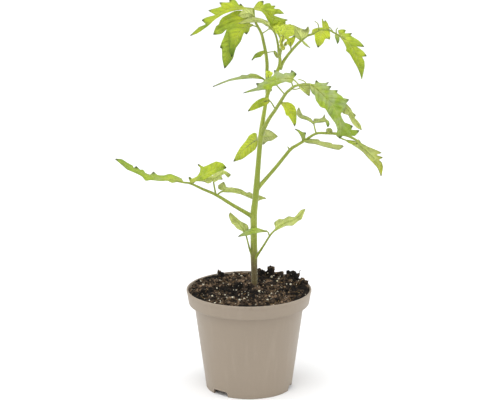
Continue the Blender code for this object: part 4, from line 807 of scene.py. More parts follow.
LEAF_08 = {
    "stalks": [
        [(20.6, 197.5, -4, 2.1), (18.6, 206, -6, 1.9), (18, 215, -6, 1.75), (18, 225, -6, 1.7),
         (16.7, 235.5, -5, 1.6), (14.3, 247, -4, 1.5), (12.4, 254.5, -3, 1.4), (8.9, 261.3, -1, 1.3),
         (6.5, 266, 1, 1.2), (5, 272, 2, 1.1), (4.6, 279, 3, 1.0)],
        [(17, 235.4, -5, 0.65), (11, 234, 0, 0.5), (6.5, 231.6, 4, 0.4)],
        [(17, 235.2, -5, 0.6), (21, 236, -8, 0.5), (25.8, 236.4, -11, 0.5)],
        [(12.9, 254.3, -3, 0.65), (17, 257, -6, 0.55), (20.9, 259.4, -9.4, 0.5),
         (26, 260.8, -11, 0.45)],
        [(8.6, 261, -1, 0.65), (3.4, 262.8, 4, 0.55), (-2, 266, 7, 0.5)],
    ],
    "blades": [
        ([(17, 236, -5), (11, 234, 0), (6.2, 231.5, 4), (2.7, 227.6, 7)],
         [(15, 237.4), (11.1, 236.6), (6.2, 234)],
         [(13.9, 233.4), (11.8, 231.1), (6.2, 230)], (-0.8, 0.6)),
        ([(25.3, 237, -11), (27.5, 233, -12), (31.4, 229.5, -12)],
         [(25, 234), (27.4, 230.3)],
         [(27.6, 236), (30.5, 232)], (0.4, -0.4)),
        ([(4.8, 279, 3), (-5.5, 280.2, 6), (-17, 279.4, 10), (-27, 276, 13), (-37, 268.2, 17),
          (-46, 260.6, 21), (-58.7, 252.2, 26)],
         [(0, 280.4), (-5, 281), (-8.4, 284.4), (-10, 283), (-13.8, 288), (-19.8, 288), (-19.6, 285.6),
          (-29.6, 285.5), (-27.5, 281.5), (-40.8, 277.5), (-33.8, 273), (-43, 270.5), (-47.2, 267.6),
          (-43.3, 263.8), (-50, 260.8)],
         [(0, 278), (-7, 278.2), (-12.1, 277.8), (-19.1, 276.2), (-26, 273.6), (-33.8, 268.6),
          (-40.8, 262.2), (-51.4, 254.7)], (-0.5, 0.3)),
        ([(4.5, 270, 2), (-6, 267.6, 8), (-13, 256, 15), (-20, 238, 21), (-24.4, 219.6, 24)],
         [(-1, 274.5), (-8, 277.3), (-14, 277), (-21.2, 273.3), (-26.1, 270.8), (-29, 267),
          (-30.3, 263.4), (-32.8, 261.7), (-35.6, 253.3), (-27.5, 254.3), (-22.3, 258.6),
          (-24.3, 252.9), (-27.2, 246), (-28.9, 240.3), (-27.2, 239.4), (-26.8, 230)],
         [(1.5, 266.2), (-1, 261.5), (-5, 255.5), (-9.5, 247), (-13.8, 238.8), (-15.8, 230.5),
          (-18.4, 226.2)], (-0.35, -0.55)),
        ([(5, 272.6, 3), (-1, 275, 9.5), (-10.7, 272.5, 14)],
         [(5.6, 277.6), (-2.2, 279.6), (-6.8, 277.5)],
         [(3.4, 270.6), (-0.8, 270.6), (-5.8, 269.8)], (-0.8, 0.2)),
        ([(4.6, 279.6, 3), (12, 279, 0), (17.5, 275.5, -4), (21.5, 270.6, -8), (28, 268.6, -12),
          (38.5, 268, -18)],
         [(5.5, 281.6), (6.9, 283.8), (9.7, 286.6), (14.6, 286.9), (14.2, 283.1), (16.7, 284.5),
          (20.9, 284.8), (22.3, 282.4), (26.5, 282.4), (24.8, 279.6), (30, 278.9), (34.9, 274.3),
          (27.2, 274), (24.4, 272.9), (30.7, 270.2)],
         [(6.2, 278), (12.2, 276.6), (15.6, 273.3), (18.2, 268.4), (20.6, 264.8), (28, 264.5),
          (34.2, 265.7)], (-0.5, 0.4)),
        ([(19.6, 259.4, -9), (26, 260.6, -11), (32, 263, -11), (36.6, 266, -11)],
         [(18.9, 263.2), (22.7, 266.2), (29, 267), (34.7, 268)],
         [(21.8, 258.2), (25.1, 256.4), (29.9, 255.6), (35.6, 260.6)], (-0.5, 0.4)),
        ([(3.8, 263.2, 4), (-3.5, 261, 9.5), (-10, 254.5, 18), (-15, 243.5, 24), (-17.5, 231.1, 27)],
         [(0, 264.6), (-8, 264.7), (-15, 264.8), (-19.6, 262.5), (-20.8, 257), (-20.3, 250), (-20, 243),
          (-19.4, 236)],
         [(2.6, 261.4), (1, 260.6), (0, 256.8), (-2.5, 253.6), (-5, 255.2), (-8.4, 246.5), (-13, 240.2),
          (-14.8, 235)], (0.05, -0.15)),
    ],
}
LEAF_09 = {
    "stalks": [
        [(30.2, 233, -3.6, 1.3), (29.2, 241.7, -4.6, 1.2), (27.8, 249, -3.5, 1.05),
         (26, 254.6, -1, 0.95), (22.7, 259, 3, 0.9), (17, 264.2, 9, 0.8), (10, 267.6, 15.5, 0.65),
         (2, 268.4, 21, 0.5)],
    ],
    "blades": [
        ([(20.5, 262, 5), (13, 267, 13), (5, 268.4, 19), (-3, 267, 24), (-10.5, 264.6, 28)],
         [(19.5, 266.4), (12, 269.6), (5, 270.8), (0, 270), (-4, 268.3)],
         [(18.4, 261.4), (13.2, 264.9), (6.2, 265.8), (-2, 265), (-6, 264.2)], (-1.6, 1.6)),
    ],
}
LEAF_10 = {
    "stalks": [
        [(31, 219.4, -3, 1.8), (33.4, 224.7, -4, 1.6), (37.5, 231.1, -6, 1.45), (42.6, 237.5, -9, 1.4),
         (47.5, 243, -12, 1.35), (51.3, 246.7, -14, 1.3), (58, 252, -17, 1.15), (64, 254.1, -19, 1.05),
         (71.6, 257.6, -21, 0.95), (79.7, 258, -23, 0.9), (84.5, 255.5, -24, 0.85),
         (90, 252.6, -25, 0.8), (97, 248, -28, 0.5)],
        [(53, 247.6, -15, 0.9), (57, 243.6, -13, 0.65), (61, 240.2, -11, 0.45)],
        [(42.2, 237.2, -8.8, 0.65), (41.6, 242.5, -8.6, 0.6), (41.8, 246, -9, 0.4)],
        [(78.4, 261.4, -24.5, 0.5), (81.5, 259.8, -24.5, 0.45), (84.5, 255.5, -24, 0.5)],
        [(70, 257, -21, 0.6), (69.1, 263.7, -19, 0.5), (65.8, 266.8, -17, 0.4)],
        [(87.6, 253, -24.5, 0.6), (87.2, 258, -24, 0.5), (88.9, 260.1, -23, 0.4)],
    ],
    "blades": [
        ([(53, 247.2, -15), (50.5, 253, -12), (46, 259, -10), (41.3, 263.2, -9)],
         [(49.4, 248.7), (45.2, 251.8), (43, 254.4), (43, 258.4), (41.2, 261)],
         [(56.7, 250.8), (59.1, 253.6), (60.5, 257.5), (59.1, 261.8), (56.2, 258.4), (49.1, 260.7),
          (44.6, 263)], (-0.5, -0.5)),
        ([(54, 246.6, -14.5), (57, 243.6, -13), (60, 241.1, -11.5)],
         [(56, 246), (59, 242.9)],
         [(54.4, 244.2), (58, 241.4)], (-0.5, 0.5)),
        ([(41.5, 241.5, -8.6), (41.8, 246, -9.6), (45, 252.2, -11.5)],
         [(38.6, 244.6), (37.9, 248.6), (39.6, 249.8), (42.4, 250.4)],
         [(43.8, 243.8), (45.4, 246.8), (46.4, 250.6)], (-0.2, -0.3)),
        ([(72.6, 258.2, -21), (71.5, 250, -13), (68.9, 240.4, -7)],
         [(65, 257.4), (65.8, 251.3), (66.2, 247)],
         [(80.3, 257.6), (81.2, 251.3), (80.5, 248.5), (77.7, 249.4), (76.2, 249), (73.9, 244.7)],
         (-0.3, -0.4)),
        ([(63, 254.4, -19), (71, 258, -21), (80.5, 258.6, -23)],
         [(63.8, 258.6), (70.5, 260.4), (78.5, 260)],
         [(66, 254.8), (75, 256.4)], (-0.8, 0.6)),
        ([(77.5, 257.6, -22.5), (75.6, 263, -25), (73.1, 269.2, -28)],
         [(73.9, 258.6), (73.1, 263.7)],
         [(80.5, 259), (78.6, 264.7), (76.2, 267.7), (75, 266.4)], (0.4, -0.3)),
        ([(87, 253.6, -24.5), (87.8, 249, -21), (88.6, 244.2, -19)],
         [(85.6, 252.2), (86.6, 248.6)],
         [(90.2, 251.3), (90.3, 247.2)], (0.4, -0.4)),
        ([(89.5, 253, -25), (97, 248, -28), (104, 238.6, -31), (109.6, 226, -33), (112.7, 209, -34)],
         [(89.1, 257.5), (93.4, 258.7), (96.7, 257.8), (95.6, 254.7), (103.1, 254.9), (101.6, 252.6),
          (109.6, 247.5), (115.3, 241.1), (107.6, 241.6), (113.9, 237), (117.7, 231.8), (113.2, 231.2),
          (115.3, 226.6), (115.5, 220.9), (114.3, 215.1)],
         [(91.5, 250.2), (95.3, 244.7), (97.4, 239.4), (96.9, 237.5), (101, 233.7), (104.3, 227.6),
          (108.1, 220.9), (110.8, 214.7)], (-0.6, 0.4)),
    ],
}
AXIL_LEAF = {
    "stalks": [
        [(22.8, 204.5, -1.6, 1.1), (20.6, 207, 1.6, 0.9), (19.4, 211, 3.4, 0.75),
         (19.6, 213.5, 4, 0.5)],
    ],
    "blades": [
        ([(19.3, 210, 3.4), (19.5, 214, 4.4), (20.5, 217.4, 5)],
         [(17, 211.5), (16.6, 214.5), (16.9, 217.8), (18.7, 216.6)],
         [(22.3, 211.6), (23.9, 215.4), (21.8, 216.3)], (0.3, 0.3)),
    ],
}
TIP_LEAVES = {
    "stalks": [
        [(31, 234, -1.6, 1.2), (32, 239, 0.4, 1.0), (33.2, 246, 2.4, 0.85), (33.8, 252, 3.6, 0.7),
         (36.4, 256.5, 6.4, 0.5)],
        [(32.6, 242, 1.2, 0.65), (31, 250, -0.4, 0.6), (28.8, 256.5, -3.8, 0.45)],
        [(33.6, 250, 3, 0.6), (34.6, 256, 1, 0.5), (35, 260, -0.4, 0.4)],
    ],
    "blades": [
        ([(33.6, 248.6, 3), (35.8, 255, 6.2), (38.8, 260, 8), (41.6, 263.8, 8)],
         [(31.6, 250.6), (32.4, 253), (31, 255.4), (33.6, 258.4), (33.4, 261), (37, 263)],
         [(36, 248.8), (39, 249), (40.4, 251.4), (43.6, 252.2), (45.4, 254.8), (45, 257.6), (46, 259.6),
          (43.6, 262.4)], (-0.4, -0.4)),
        ([(30.9, 250.8, -0.6), (29, 256, -3.6), (26.6, 262.6, -5.5)],
         [(28.6, 253.4), (26, 256), (26.4, 258), (24, 260.6)],
         [(32, 254.6), (31.4, 257), (33, 259), (29.4, 262.6)], (0.4, 0.4)),
        ([(34, 252.6, 2.4), (34.8, 258, 0.4), (35.4, 264, -2)],
         [(32.4, 256), (33, 258.6), (31.2, 261.4), (33.6, 263)],
         [(36.4, 256.4), (37.6, 260.6), (39.2, 262.6), (36.8, 263.8)], (0.5, -0.5)),
    ],
}
FLOWER_TRUSS = [
    (30.9, 230.6, -1.4, 0.9), (31.7, 234.4, 3, 0.75), (32.7, 238.6, 6.4, 0.7), (33.2, 243, 8, 0.6),
    (33.5, 248, 9.4, 0.5),
]
BUDS = [
    (33.9, 249.6, 9.8, 2.9, 1.7), (32.4, 243.2, 8.6, 2.4, 1.35), (34.2, 240, 8, 2.5, 1.4),
    (37, 244.4, 7.6, 2.5, 1.2), (31.6, 246.6, 9.6, 2.1, 1.1),
]

# Blades that turn their pale underside to the viewer, by their number in their leaf
UNDERSIDES = {
    "leaf_01": (0,), "leaf_02": (0,), "leaf_03": (2, 3, 4), "leaf_04": (1, 2, 3, 5, 7), "leaf_05": (1,),
    "leaf_06": (3, 4, 6), "leaf_08": (1, 4), "leaf_09": (0,), "leaf_10": (0, 1),
}
# How far each blade has gone from the lime of young growth, 0, to an old grey green, 1. The tone also
# paints light: a blade in shade gets a lower or negative tone to look lighter, and greyer tones paint sheen.
TONES = {
    "leaf_01": (0.0,), "leaf_02": (0.2, 0.85), "leaf_03": (0.5, 0.2, 0.05, 0.1, 0.3),
    "leaf_04": (0.75, 0.6, 0.8, 0.8, 0.85, 0.5, 0.3, 0.3), "leaf_05": (0.1, 0.6),
    "leaf_06": (-0.4, 0.05, 0.85, 0.0, 0.5, 0.75, 0.15), "leaf_07": (0.8,),
    "leaf_08": (0.3, 0.5, 0.2, 0.3, 0.3, 0.2, -0.4, 0.25), "leaf_09": (0.5,),
    "leaf_10": (-0.1, 0.3, -0.4, 0.0, 0.3, 0.15, 1.0, 0.25), "axil_leaf": (-0.1,),
    "tip_leaves": (-0.2, -0.1, -0.2),
}
# How much painted shade, deep green or olive on undersides, some blades get along the edges and
# tip of each half: (leaf, blade) to shares
SHADED_EDGES = {
    ("leaf_03", 0): (0.2, 0.1), ("leaf_04", 4): (0.8, 0.8), ("leaf_04", 7): (1.0, 1.0),
    ("leaf_06", 1): (0.3, 0.1), ("leaf_06", 5): (0.15, 0.0), ("leaf_08", 0): (0.6, 0.6),
    ("leaf_08", 2): (0.2, 0.1), ("leaf_08", 3): (0.3, 0.35), ("leaf_08", 5): (0.15, 0.0),
    ("leaf_08", 7): (0.9, 0.9), ("leaf_10", 3): (0.15, 0.15), ("leaf_10", 6): (1.0, 1.0),
    ("leaf_10", 7): (0.25, 0.3),
}


# %% [markdown]
# Everything that grows here is either a stalk, which is a long tapering tube, or a blade. The tube
# starts as one ring of points. The ring is extruded along a smooth curve, and each new ring is carried
# from the last station to the next by a matrix, which moves, turns and resizes it at once. A curve
# with a bevel would do the same, but it couldn't be capped and joined to blades as easily.

# %% Curves and tubes
def spline(points, steps):
    """A smooth curve through the given tuples, with some steps between each two of them."""
    rows = [Vector(p) for p in points]
    rows = [2 * rows[0] - rows[1]] + rows + [2 * rows[-1] - rows[-2]]
    curve = []
    for i in range(1, len(rows) - 2):
        p0, p1, p2, p3 = rows[i - 1 : i + 3]
        for k in range(steps):
            t = k / steps
            bend = (2 * p0 - 5 * p1 + 4 * p2 - p3) * t**2 + (3 * p1 - p0 - 3 * p2 + p3) * t**3
            curve.append(0.5 * (2 * p1 + (p2 - p0) * t + bend))
    return curve + [rows[-2]]


def stations(path):
    """A matrix for each (centre, radius) of a path: a ring of radius 1 at the origin is carried there."""
    side = Vector((0.0, 1.0, 0.0))
    made = []
    for i, (centre, radius) in enumerate(path):
        heading = (path[min(i + 1, len(path) - 1)][0] - path[max(i - 1, 0)][0]).normalized()
        side = (side - side.dot(heading) * heading).normalized()
        turned = Matrix((side, heading.cross(side), heading)).transposed().to_4x4()
        made.append(Matrix.Translation(centre) @ turned @ Matrix.Scale(radius, 4))
    return made


def turn_to(heading):
    """The turn that carries the Z axis to a heading."""
    return heading.to_track_quat("Z", "Y").to_matrix().to_4x4()


def tube(path, sides, finish=0):
    """A closed tube with rounded ends along a path of (centre, radius) in the frame's millimetres."""
    for end, beside, at in ((-1, -2, len(path)), (0, 1, 0)):
        centre, radius = path[end]
        beyond = (centre - path[beside][0]).normalized() * 0.45 * radius
        path.insert(at, (centre + beyond, 0.6 * radius))
    places = stations(path)
    bm = bmesh.new()
    bmesh.ops.create_circle(bm, cap_ends=True, segments=sides, radius=1.0, matrix=places[0])
    rim = bm.edges[:]
    for before, after in zip(places, places[1:]):
        made = bmesh.ops.extrude_edge_only(bm, edges=rim)["geom"]
        rim = [item for item in made if isinstance(item, bmesh.types.BMEdge)]
        verts = [item for item in made if isinstance(item, bmesh.types.BMVert)]
        rim = [edge for edge in rim if all(vert in verts for vert in edge.verts)]
        bmesh.ops.transform(bm, matrix=after @ before.inverted(), verts=verts)
    bmesh.ops.edgeloop_fill(bm, edges=rim)
    bmesh.ops.recalc_face_normals(bm, faces=bm.faces)
    for face in bm.faces:
        face.material_index = finish
    return bm


def drawn_path(points, steps):
    """The path of a stalk that is drawn on the sheet as (across, up, toward, radius)."""
    return [(seen(*p[:3]), p[3]) for p in spline(points, steps)]


# %% [markdown]
# Stalks and stems carry hairs. Each hair is a three-sided cone, the cheapest closed shape there is,
# and thousands of them together give the pale fuzz that rims a tomato stem against the light. They are
# made a handful at a time, because a bmesh that grows large is slow to add to.

# %% Plant hairs
HAIR_RADIUS = 0.045
HAIR_LEAN = 0.35
LONG_HAIR_SHARE = 0.06
LONG_HAIR = 1.6
HAIR_BATCH = 160


def random_vector(draw, low, high):
    """Three random numbers between two limits."""
    return Vector([draw.uniform(low, high) for _ in range(3)])


def merge_into(target, bm):
    """Add a bmesh to another one and free it."""
    carried = bpy.data.meshes.new("carried")
    bm.to_mesh(carried)
    bm.free()
    target.from_mesh(carried)
    bpy.data.meshes.remove(carried)


def hairs_along(target, path, density, length, draw):
    """Hairs all round a path, with a number of them for each square millimetre."""
    places = stations(path)
    batch = bmesh.new()
    for (start, radius), (end, _), here, there in zip(path, path[1:], places, places[1:]):
        count = density * math.tau * radius * (end - start).length
        for _ in range(int(count) + (draw.random() < count % 1)):
            angle = draw.uniform(0, math.tau)
            reach = length * draw.uniform(0.5, 1.15)
            if draw.random() < LONG_HAIR_SHARE:
                reach *= LONG_HAIR
            where = here.lerp(there, draw.random())
            root = where @ Vector((math.cos(angle), math.sin(angle), 0.0))
            out = (root - where.translation).normalized()
            out = (out + random_vector(draw, -HAIR_LEAN, HAIR_LEAN)).normalized()
            stand = Matrix.Translation(root + out * (0.5 * reach - 0.05)) @ turn_to(out)
            bmesh.ops.create_cone(batch, cap_ends=True, segments=3, radius1=HAIR_RADIUS, radius2=0.0,
                                  depth=reach, matrix=stand)
            if len(batch.verts) > 4 * HAIR_BATCH:
                merge_into(target, batch)
                batch = bmesh.new()
    merge_into(target, batch)


# %% [markdown]
# A blade is drawn flat first: its midrib and the outlines of its two halves, as on a drawing sheet.
# The straight runs of the outline are bowed a little, so the teeth stay where they are but lose
# their drafted look. The two halves are filled, then their long edges are split again and again and
# the points between are evened out, until the triangles are about a millimetre wide. All of this is
# done flat, where it is safe, and only then is each point lifted to its place in space.

# %% Blade outlines
BLADE_THICKNESS = 0.46
BASE_HALF_WIDTH = 0.8
TIP_HALF_WIDTH = 0.3
GRAIN = 1.25
RIB_STEPS = 5
OUTLINE_STEPS = 3
BOW = 0.5


def bowed(points, steps):
    """An outline through the given points whose runs bow gently, without loops at its teeth."""
    rows = [2 * points[0] - points[1], *points, 2 * points[-1] - points[-2]]
    curve = []
    for p0, p1, p2, p3 in zip(rows, rows[1:], rows[2:], rows[3:]):
        a, b, c = (max(0.1, (q - p).length) ** 0.5 for p, q in ((p0, p1), (p1, p2), (p2, p3)))
        leave = BOW * b * ((p1 - p0) / a - (p2 - p0) / (a + b) + (p2 - p1) / b)
        arrive = BOW * b * ((p2 - p1) / b - (p3 - p1) / (b + c) + (p3 - p2) / c)
        leave += (1 - BOW) * (p2 - p1)
        arrive += (1 - BOW) * (p2 - p1)
        for k in range(steps):
            t = k / steps
            ahead = t * t * (3 - 2 * t)
            curve.append(p1.lerp(p2, ahead) + (t - 2 * t**2 + t**3) * leave + (t**3 - t**2) * arrive)
    return curve + [points[-1]]


def even_triangles(bm, longest):
    """Split the faces of a flat sheet until no edge is longer than a length, and even them out."""
    bmesh.ops.triangulate(bm, faces=bm.faces, ngon_method="BEAUTY")
    while True:
        wide = [edge for edge in bm.edges if edge.calc_length() > longest]
        if not wide:
            break
        bmesh.ops.subdivide_edges(bm, edges=wide, cuts=1)
        bmesh.ops.triangulate(bm, faces=bm.faces, quad_method="BEAUTY", ngon_method="BEAUTY")
        free_edges = [edge for edge in bm.edges if not (edge.seam or edge.is_boundary)]
        bmesh.ops.beautify_fill(bm, faces=bm.faces, edges=free_edges)
        held = {vert for edge in bm.edges if edge.seam or edge.is_boundary for vert in edge.verts}
        free_verts = [vert for vert in bm.verts if vert not in held]
        bmesh.ops.smooth_vert(bm, verts=free_verts, factor=0.5, use_axis_x=True, use_axis_y=True)


def nearest_share(curve, lengths, spot):
    """Which share of the midrib lies nearest to a spot on the sheet, and how far off it is."""
    best = (1e9, 0.0)
    for i in range(1, len(curve)):
        start, run = curve[i - 1].xy, curve[i].xy - curve[i - 1].xy
        part = max(0.0, min(1.0, (spot - start).dot(run) / run.length_squared))
        off = (spot - start - part * run).length
        best = min(best, (off, (lengths[i - 1] + part * run.length) / lengths[-1]))
    return best[1], best[0]


def tooth_points(curve, lengths, halves):
    """The tip of a blade and those corners of its outlines that turn sharply and stand out."""
    found = [curve[-1].xy]
    for outline in halves:
        corners = [Vector(point) for point in outline]
        for before, at, after in zip(corners, corners[1:], corners[2:]):
            turn = (at - before).normalized().dot((after - at).normalized())
            off = nearest_share(curve, lengths, at)[1]
            if turn < 0.4 and off > nearest_share(curve, lengths, (before + after) / 2)[1]:
                found.append(at)
    return found


def place_on(curve, lengths, share):
    """The point of a polyline at a share of its drawn length."""
    goal = share * lengths[-1]
    i = next((k for k in range(1, len(lengths)) if lengths[k] >= goal), len(lengths) - 1)
    part = (goal - lengths[i - 1]) / (lengths[i] - lengths[i - 1])
    return curve[i - 1].lerp(curve[i], min(1.0, part))


# %% [markdown]
# Lifting a point takes its place along the midrib and its distance off it. Each half leans at its
# own slope, as in the solids. On top of that comes what makes a tomato leaflet soft: the margin rolls
# back, the skin swells between the side veins, and the whole blade wavers a little. These swells are
# under a millimetre, so the finer blade keeps the solid's form. Then the sheet gets its thickness.

# %% Blades
VEINS_ON_BLADE = 8.5
CLOSEST_VEINS = 2.6
WIDEST_VEINS = 5.6
VEIN_SLANT = 0.72
VEIN_CURL = 0.014
MARGIN_ROLL = 0.75
MARGIN_WIDTH = 2.4
EDGE_WIDTH = 1.3
TOOTH_REACH = 3.0
TOOTH_SHARE = 0.14
SWELL = 0.7
GROOVE = 0.12
WAVER = 1.1
WAVE_LENGTH = 8.0
RIPPLE = 0.4
RIB_RADIUS = 0.62
RIB_TIP_RADIUS = 0.18


def flat_halves(curve, halves):
    """A flat bmesh of a blade's two halves, which meet at a seam along the midrib."""
    bm = bmesh.new()
    spine = [bm.verts.new((p.x, p.y, 0.0)) for p in curve]
    for outline in halves:
        ring = [p.xy for p in curve] + [Vector(p) for p in reversed(outline)]
        side = math.copysign(1.0, sum(a.cross(b) for a, b in zip(ring, ring[1:] + ring[:1])))
        base = curve[0].xy + side * BASE_HALF_WIDTH * (curve[1] - curve[0]).xy.normalized().orthogonal()
        tip = curve[-1].xy + side * TIP_HALF_WIDTH * (curve[-1] - curve[-2]).xy.normalized().orthogonal()
        edge = bowed([base, *map(Vector, outline), tip], OUTLINE_STEPS)
        border = [bm.verts.new((p.x, p.y, 0.0)) for p in edge]
        bm.faces.new(spine + border[::-1])
    for edge in bm.edges:
        edge.seam = len(edge.link_faces) == 2
    bmesh.ops.recalc_face_normals(bm, faces=bm.faces)
    if sum(face.normal.z * face.calc_area() for face in bm.faces) < 0:
        bmesh.ops.reverse_faces(bm, faces=bm.faces)
    return bm


def margin_finder(bm):
    """A tree that finds how far a point of a flat blade lies from the margin."""
    margin = KDTree(len(bm.verts))
    for i, vert in enumerate(bm.verts):
        if vert.is_boundary:
            margin.insert(vert.co, i)
    margin.balance()
    return margin


def relief(spot, count, off, inward, facing, seed):
    """How far a point stands out of a blade's plain lean: rolled, swollen, grooved and wavy."""
    roll = MARGIN_ROLL * (1 - math.exp(-inward / MARGIN_WIDTH)) - 0.5 * MARGIN_ROLL
    swell = SWELL * (0.5 - 0.5 * math.cos(math.tau * count))
    swell *= min(1.0, off / 2.0) * min(1.0, inward / 1.2)
    groove = GROOVE * math.exp(-((off / 0.8) ** 2))
    waver = WAVER * noise(Vector((spot.x / WAVE_LENGTH, spot.y / WAVE_LENGTH, seed))) * min(1.0, off / 3.0)
    ripple = RIPPLE * math.sin(math.pi * count + seed) * min(1.0, off / 5.0) ** 2
    return facing * (roll + swell - groove) + waver + ripple


def blade(spec, shows_underside, tone, shaded_edges, seed):
    """One cut blade with its own vein numbers: finely divided, rolled at the margin, and thin."""
    rib, one_side, other_side, lean = spec
    curve = spline(rib, RIB_STEPS)
    lengths = [0.0]
    for start, end in zip(curve, curve[1:]):
        lengths.append(lengths[-1] + (end.xy - start.xy).length)
    bm = flat_halves(curve, (one_side, other_side))
    for half, face in enumerate(bm.faces):
        face.material_index = half
    even_triangles(bm, GRAIN)
    margin = margin_finder(bm)
    spacing = max(CLOSEST_VEINS, min(WIDEST_VEINS, lengths[-1] / VEINS_ON_BLADE))
    veins = bm.verts.layers.float_vector.new(VEIN_NUMBERS)
    skin = bm.verts.layers.float_vector.new(FACE_NUMBERS)
    own = bm.verts.layers.float_vector.new(OWN_NUMBERS)
    teeth = tooth_points(curve, lengths, (one_side, other_side))
    reach = min(TOOTH_REACH, TOOTH_SHARE * lengths[-1])
    facing = -1.0 if shows_underside else 1.0
    lifted = []
    for vert in bm.verts:
        share, off = nearest_share(curve, lengths, vert.co.xy)
        inward = margin.find(vert.co)[2]
        halves = [face.material_index for face in vert.link_faces]
        slope_here = sum(lean[half] for half in halves) / len(halves)
        count = (share * lengths[-1] - VEIN_SLANT * off - VEIN_CURL * off * off) / spacing
        vert[veins] = (count, off, share)
        from_tooth = min((vert.co.xy - tooth).length for tooth in teeth)
        vert[own] = (tone, math.exp(-((from_tooth / reach) ** 2)), shaded_edges[halves[0]])
        vert[skin] = (float(shows_underside), math.exp(-inward / EDGE_WIDTH), spacing)
        toward = place_on(curve, lengths, share).z + slope_here * off
        lifted.append(toward + relief(vert.co, count, off, inward, facing, seed))
    for vert, toward in zip(bm.verts, lifted):
        vert.co = seen(vert.co.x, vert.co.y, toward)
    for face in bm.faces:
        face.material_index = 0
    return slab(bm, skin), midrib(curve, facing)


def slab(bm, skin):
    """Give the lifted sheet its thickness, and mark which of its two faces is the underside."""
    bm.normal_update()
    lift = bm.verts.layers.float_vector.new("lift")
    for vert in bm.verts:
        vert[lift] = BLADE_THICKNESS * vert.normal
        vert.co -= 0.5 * vert[lift]
        vert[skin] = (1.0 - vert[skin].x, vert[skin].y, vert[skin].z)
    made = bmesh.ops.extrude_face_region(bm, geom=bm.faces[:], use_keep_orig=True)["geom"]
    for vert in made:
        if isinstance(vert, bmesh.types.BMVert):
            vert.co += vert[lift]
            vert[skin] = (1.0 - vert[skin].x, vert[skin].y, vert[skin].z)
    bm.verts.layers.float_vector.remove(lift)
    bmesh.ops.recalc_face_normals(bm, faces=bm.faces)
    return bm


def midrib(curve, facing):
    """The midrib: a slender tube that stands out of the underside and tapers to the tip."""
    last = len(curve) - 1
    path = []
    for i, p in enumerate(curve):
        radius = RIB_RADIUS + (RIB_TIP_RADIUS - RIB_RADIUS) * i / last
        path.append((seen(p.x, p.y, p.z - facing * (0.45 * radius + 0.34)), radius))
    return tube(path, 8, finish=1)

# %% [markdown]
# Each finished piece becomes an object at the origin, with its place in its mesh, as the solids have.
# It rides on the plant's one body, takes the finishes that it is given, and stands for
# the solid that it replaces, which then isn't shown.

# %% From a bmesh to a finished piece
def finished(name, bm, finishes, slot, *nodes, crease=50.0):
    """Turn a bmesh in millimetres into a named, shaded piece that stands for some solids."""
    bmesh.ops.scale(bm, vec=(MM, MM, MM), verts=bm.verts)
    mesh = bpy.data.meshes.new(name)
    bm.to_mesh(mesh)
    bm.free()
    for finish in finishes:
        mesh.materials.append(finish)
    mesh.shade_smooth()
    mesh.set_sharp_from_angle(angle=math.radians(crease))
    piece = new_object(name, mesh)
    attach(piece, "root")
    if nodes:
        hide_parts(*nodes)
    mesh.calc_loop_triangles()
    print(f"{name}: {len(mesh.loop_triangles)} triangles")
    return piece


# %% [markdown]
# The main stem is a tube of 20 sides through the same points as its solid. A young tomato stem is
# round and a little swollen where leaves leave it, and its lower half shows a fuzz of pale hairs.

# %% Main stem
STEM_SIDES = 20
STEM_STEPS = 6
STEM_HAIRS = 0.9
STALK_HAIRS = 0.8
HAIR_LENGTH = 0.9
HAIRS_FROM = SHEET_LEVEL + 3.0

stem_path = drawn_path(STEM, STEM_STEPS)
finished("main_stem_skin", tube(list(stem_path), STEM_SIDES), [STEM_FINISH], "stem", "main_stem")
stem_hairs = bmesh.new()
above_mix = [(centre, radius) for centre, radius in stem_path if centre.z > HAIRS_FROM]
hairs_along(stem_hairs, above_mix, STEM_HAIRS, HAIR_LENGTH, random.Random(11))
finished("main_stem_hairs", stem_hairs, [HAIR_FINISH], "stem", "main_stem")

# %% [markdown]
# The leaves come from their tables, one function for all of them. A leaf gives three pieces: its
# blades with their midribs, its stalks, and the hairs on the stalks. The stalks run on into the stem,
# because that is how they grow, and swell a little at their foot.

# %% Leaves
STALK_SIDES = 10
TWIG_SIDES = 8
STALK_STEPS = 4
FOOT_SWELL = 0.28
FOOT_LENGTH = 4.0


def stalk_path(points, is_main):
    """The path of a stalk, swollen towards its foot on the stem if it is the leaf's main one."""
    path = drawn_path(points, STALK_STEPS)
    if is_main:
        foot = path[0][0]
        path = [(c, r * (1 + FOOT_SWELL * math.exp(-(c - foot).length / FOOT_LENGTH))) for c, r in path]
    return path


def make_leaf(name, leaf, blade_finish_used, slot, seed):
    """The blades, stalks and hairs of one compound leaf."""
    blades, stalks, hairs = bmesh.new(), bmesh.new(), bmesh.new()
    for number, spec in enumerate(leaf["blades"]):
        under = number in UNDERSIDES.get(name, ())
        shaded_edges = SHADED_EDGES.get((name, number), (0.0, 0.0))
        sheet, rib = blade(spec, under, TONES[name][number], shaded_edges, seed + 0.37 * number)
        merge_into(blades, sheet)
        merge_into(blades, rib)
    draw = random.Random(int(100 * seed))
    for number, points in enumerate(leaf["stalks"]):
        path = stalk_path(points, number == 0)
        hairs_along(hairs, path, STALK_HAIRS, 0.8 * HAIR_LENGTH, draw)
        merge_into(stalks, tube(path, STALK_SIDES if number == 0 else TWIG_SIDES))
    finished(name + "_blades", blades, [blade_finish_used, RIB_FINISH], slot, name)
    finished(name + "_stalks", stalks, [STALK_FINISH], slot, name)
    finished(name + "_hairs", hairs, [HAIR_FINISH], slot, name)


LEAVES = (LEAF_01, LEAF_02, LEAF_03, LEAF_04, LEAF_05, LEAF_06, LEAF_07, LEAF_08, LEAF_09, LEAF_10)
for number, leaf in enumerate(LEAVES, 1):
    make_leaf(f"leaf_{number:02d}", leaf, LEAF_FINISH, "leaf", 1.0 + number)
make_leaf("axil_leaf", AXIL_LEAF, YOUNG_FINISH, "young_leaf", 21.0)
make_leaf("tip_leaves", TIP_LEAVES, YOUNG_FINISH, "young_leaf", 22.0)
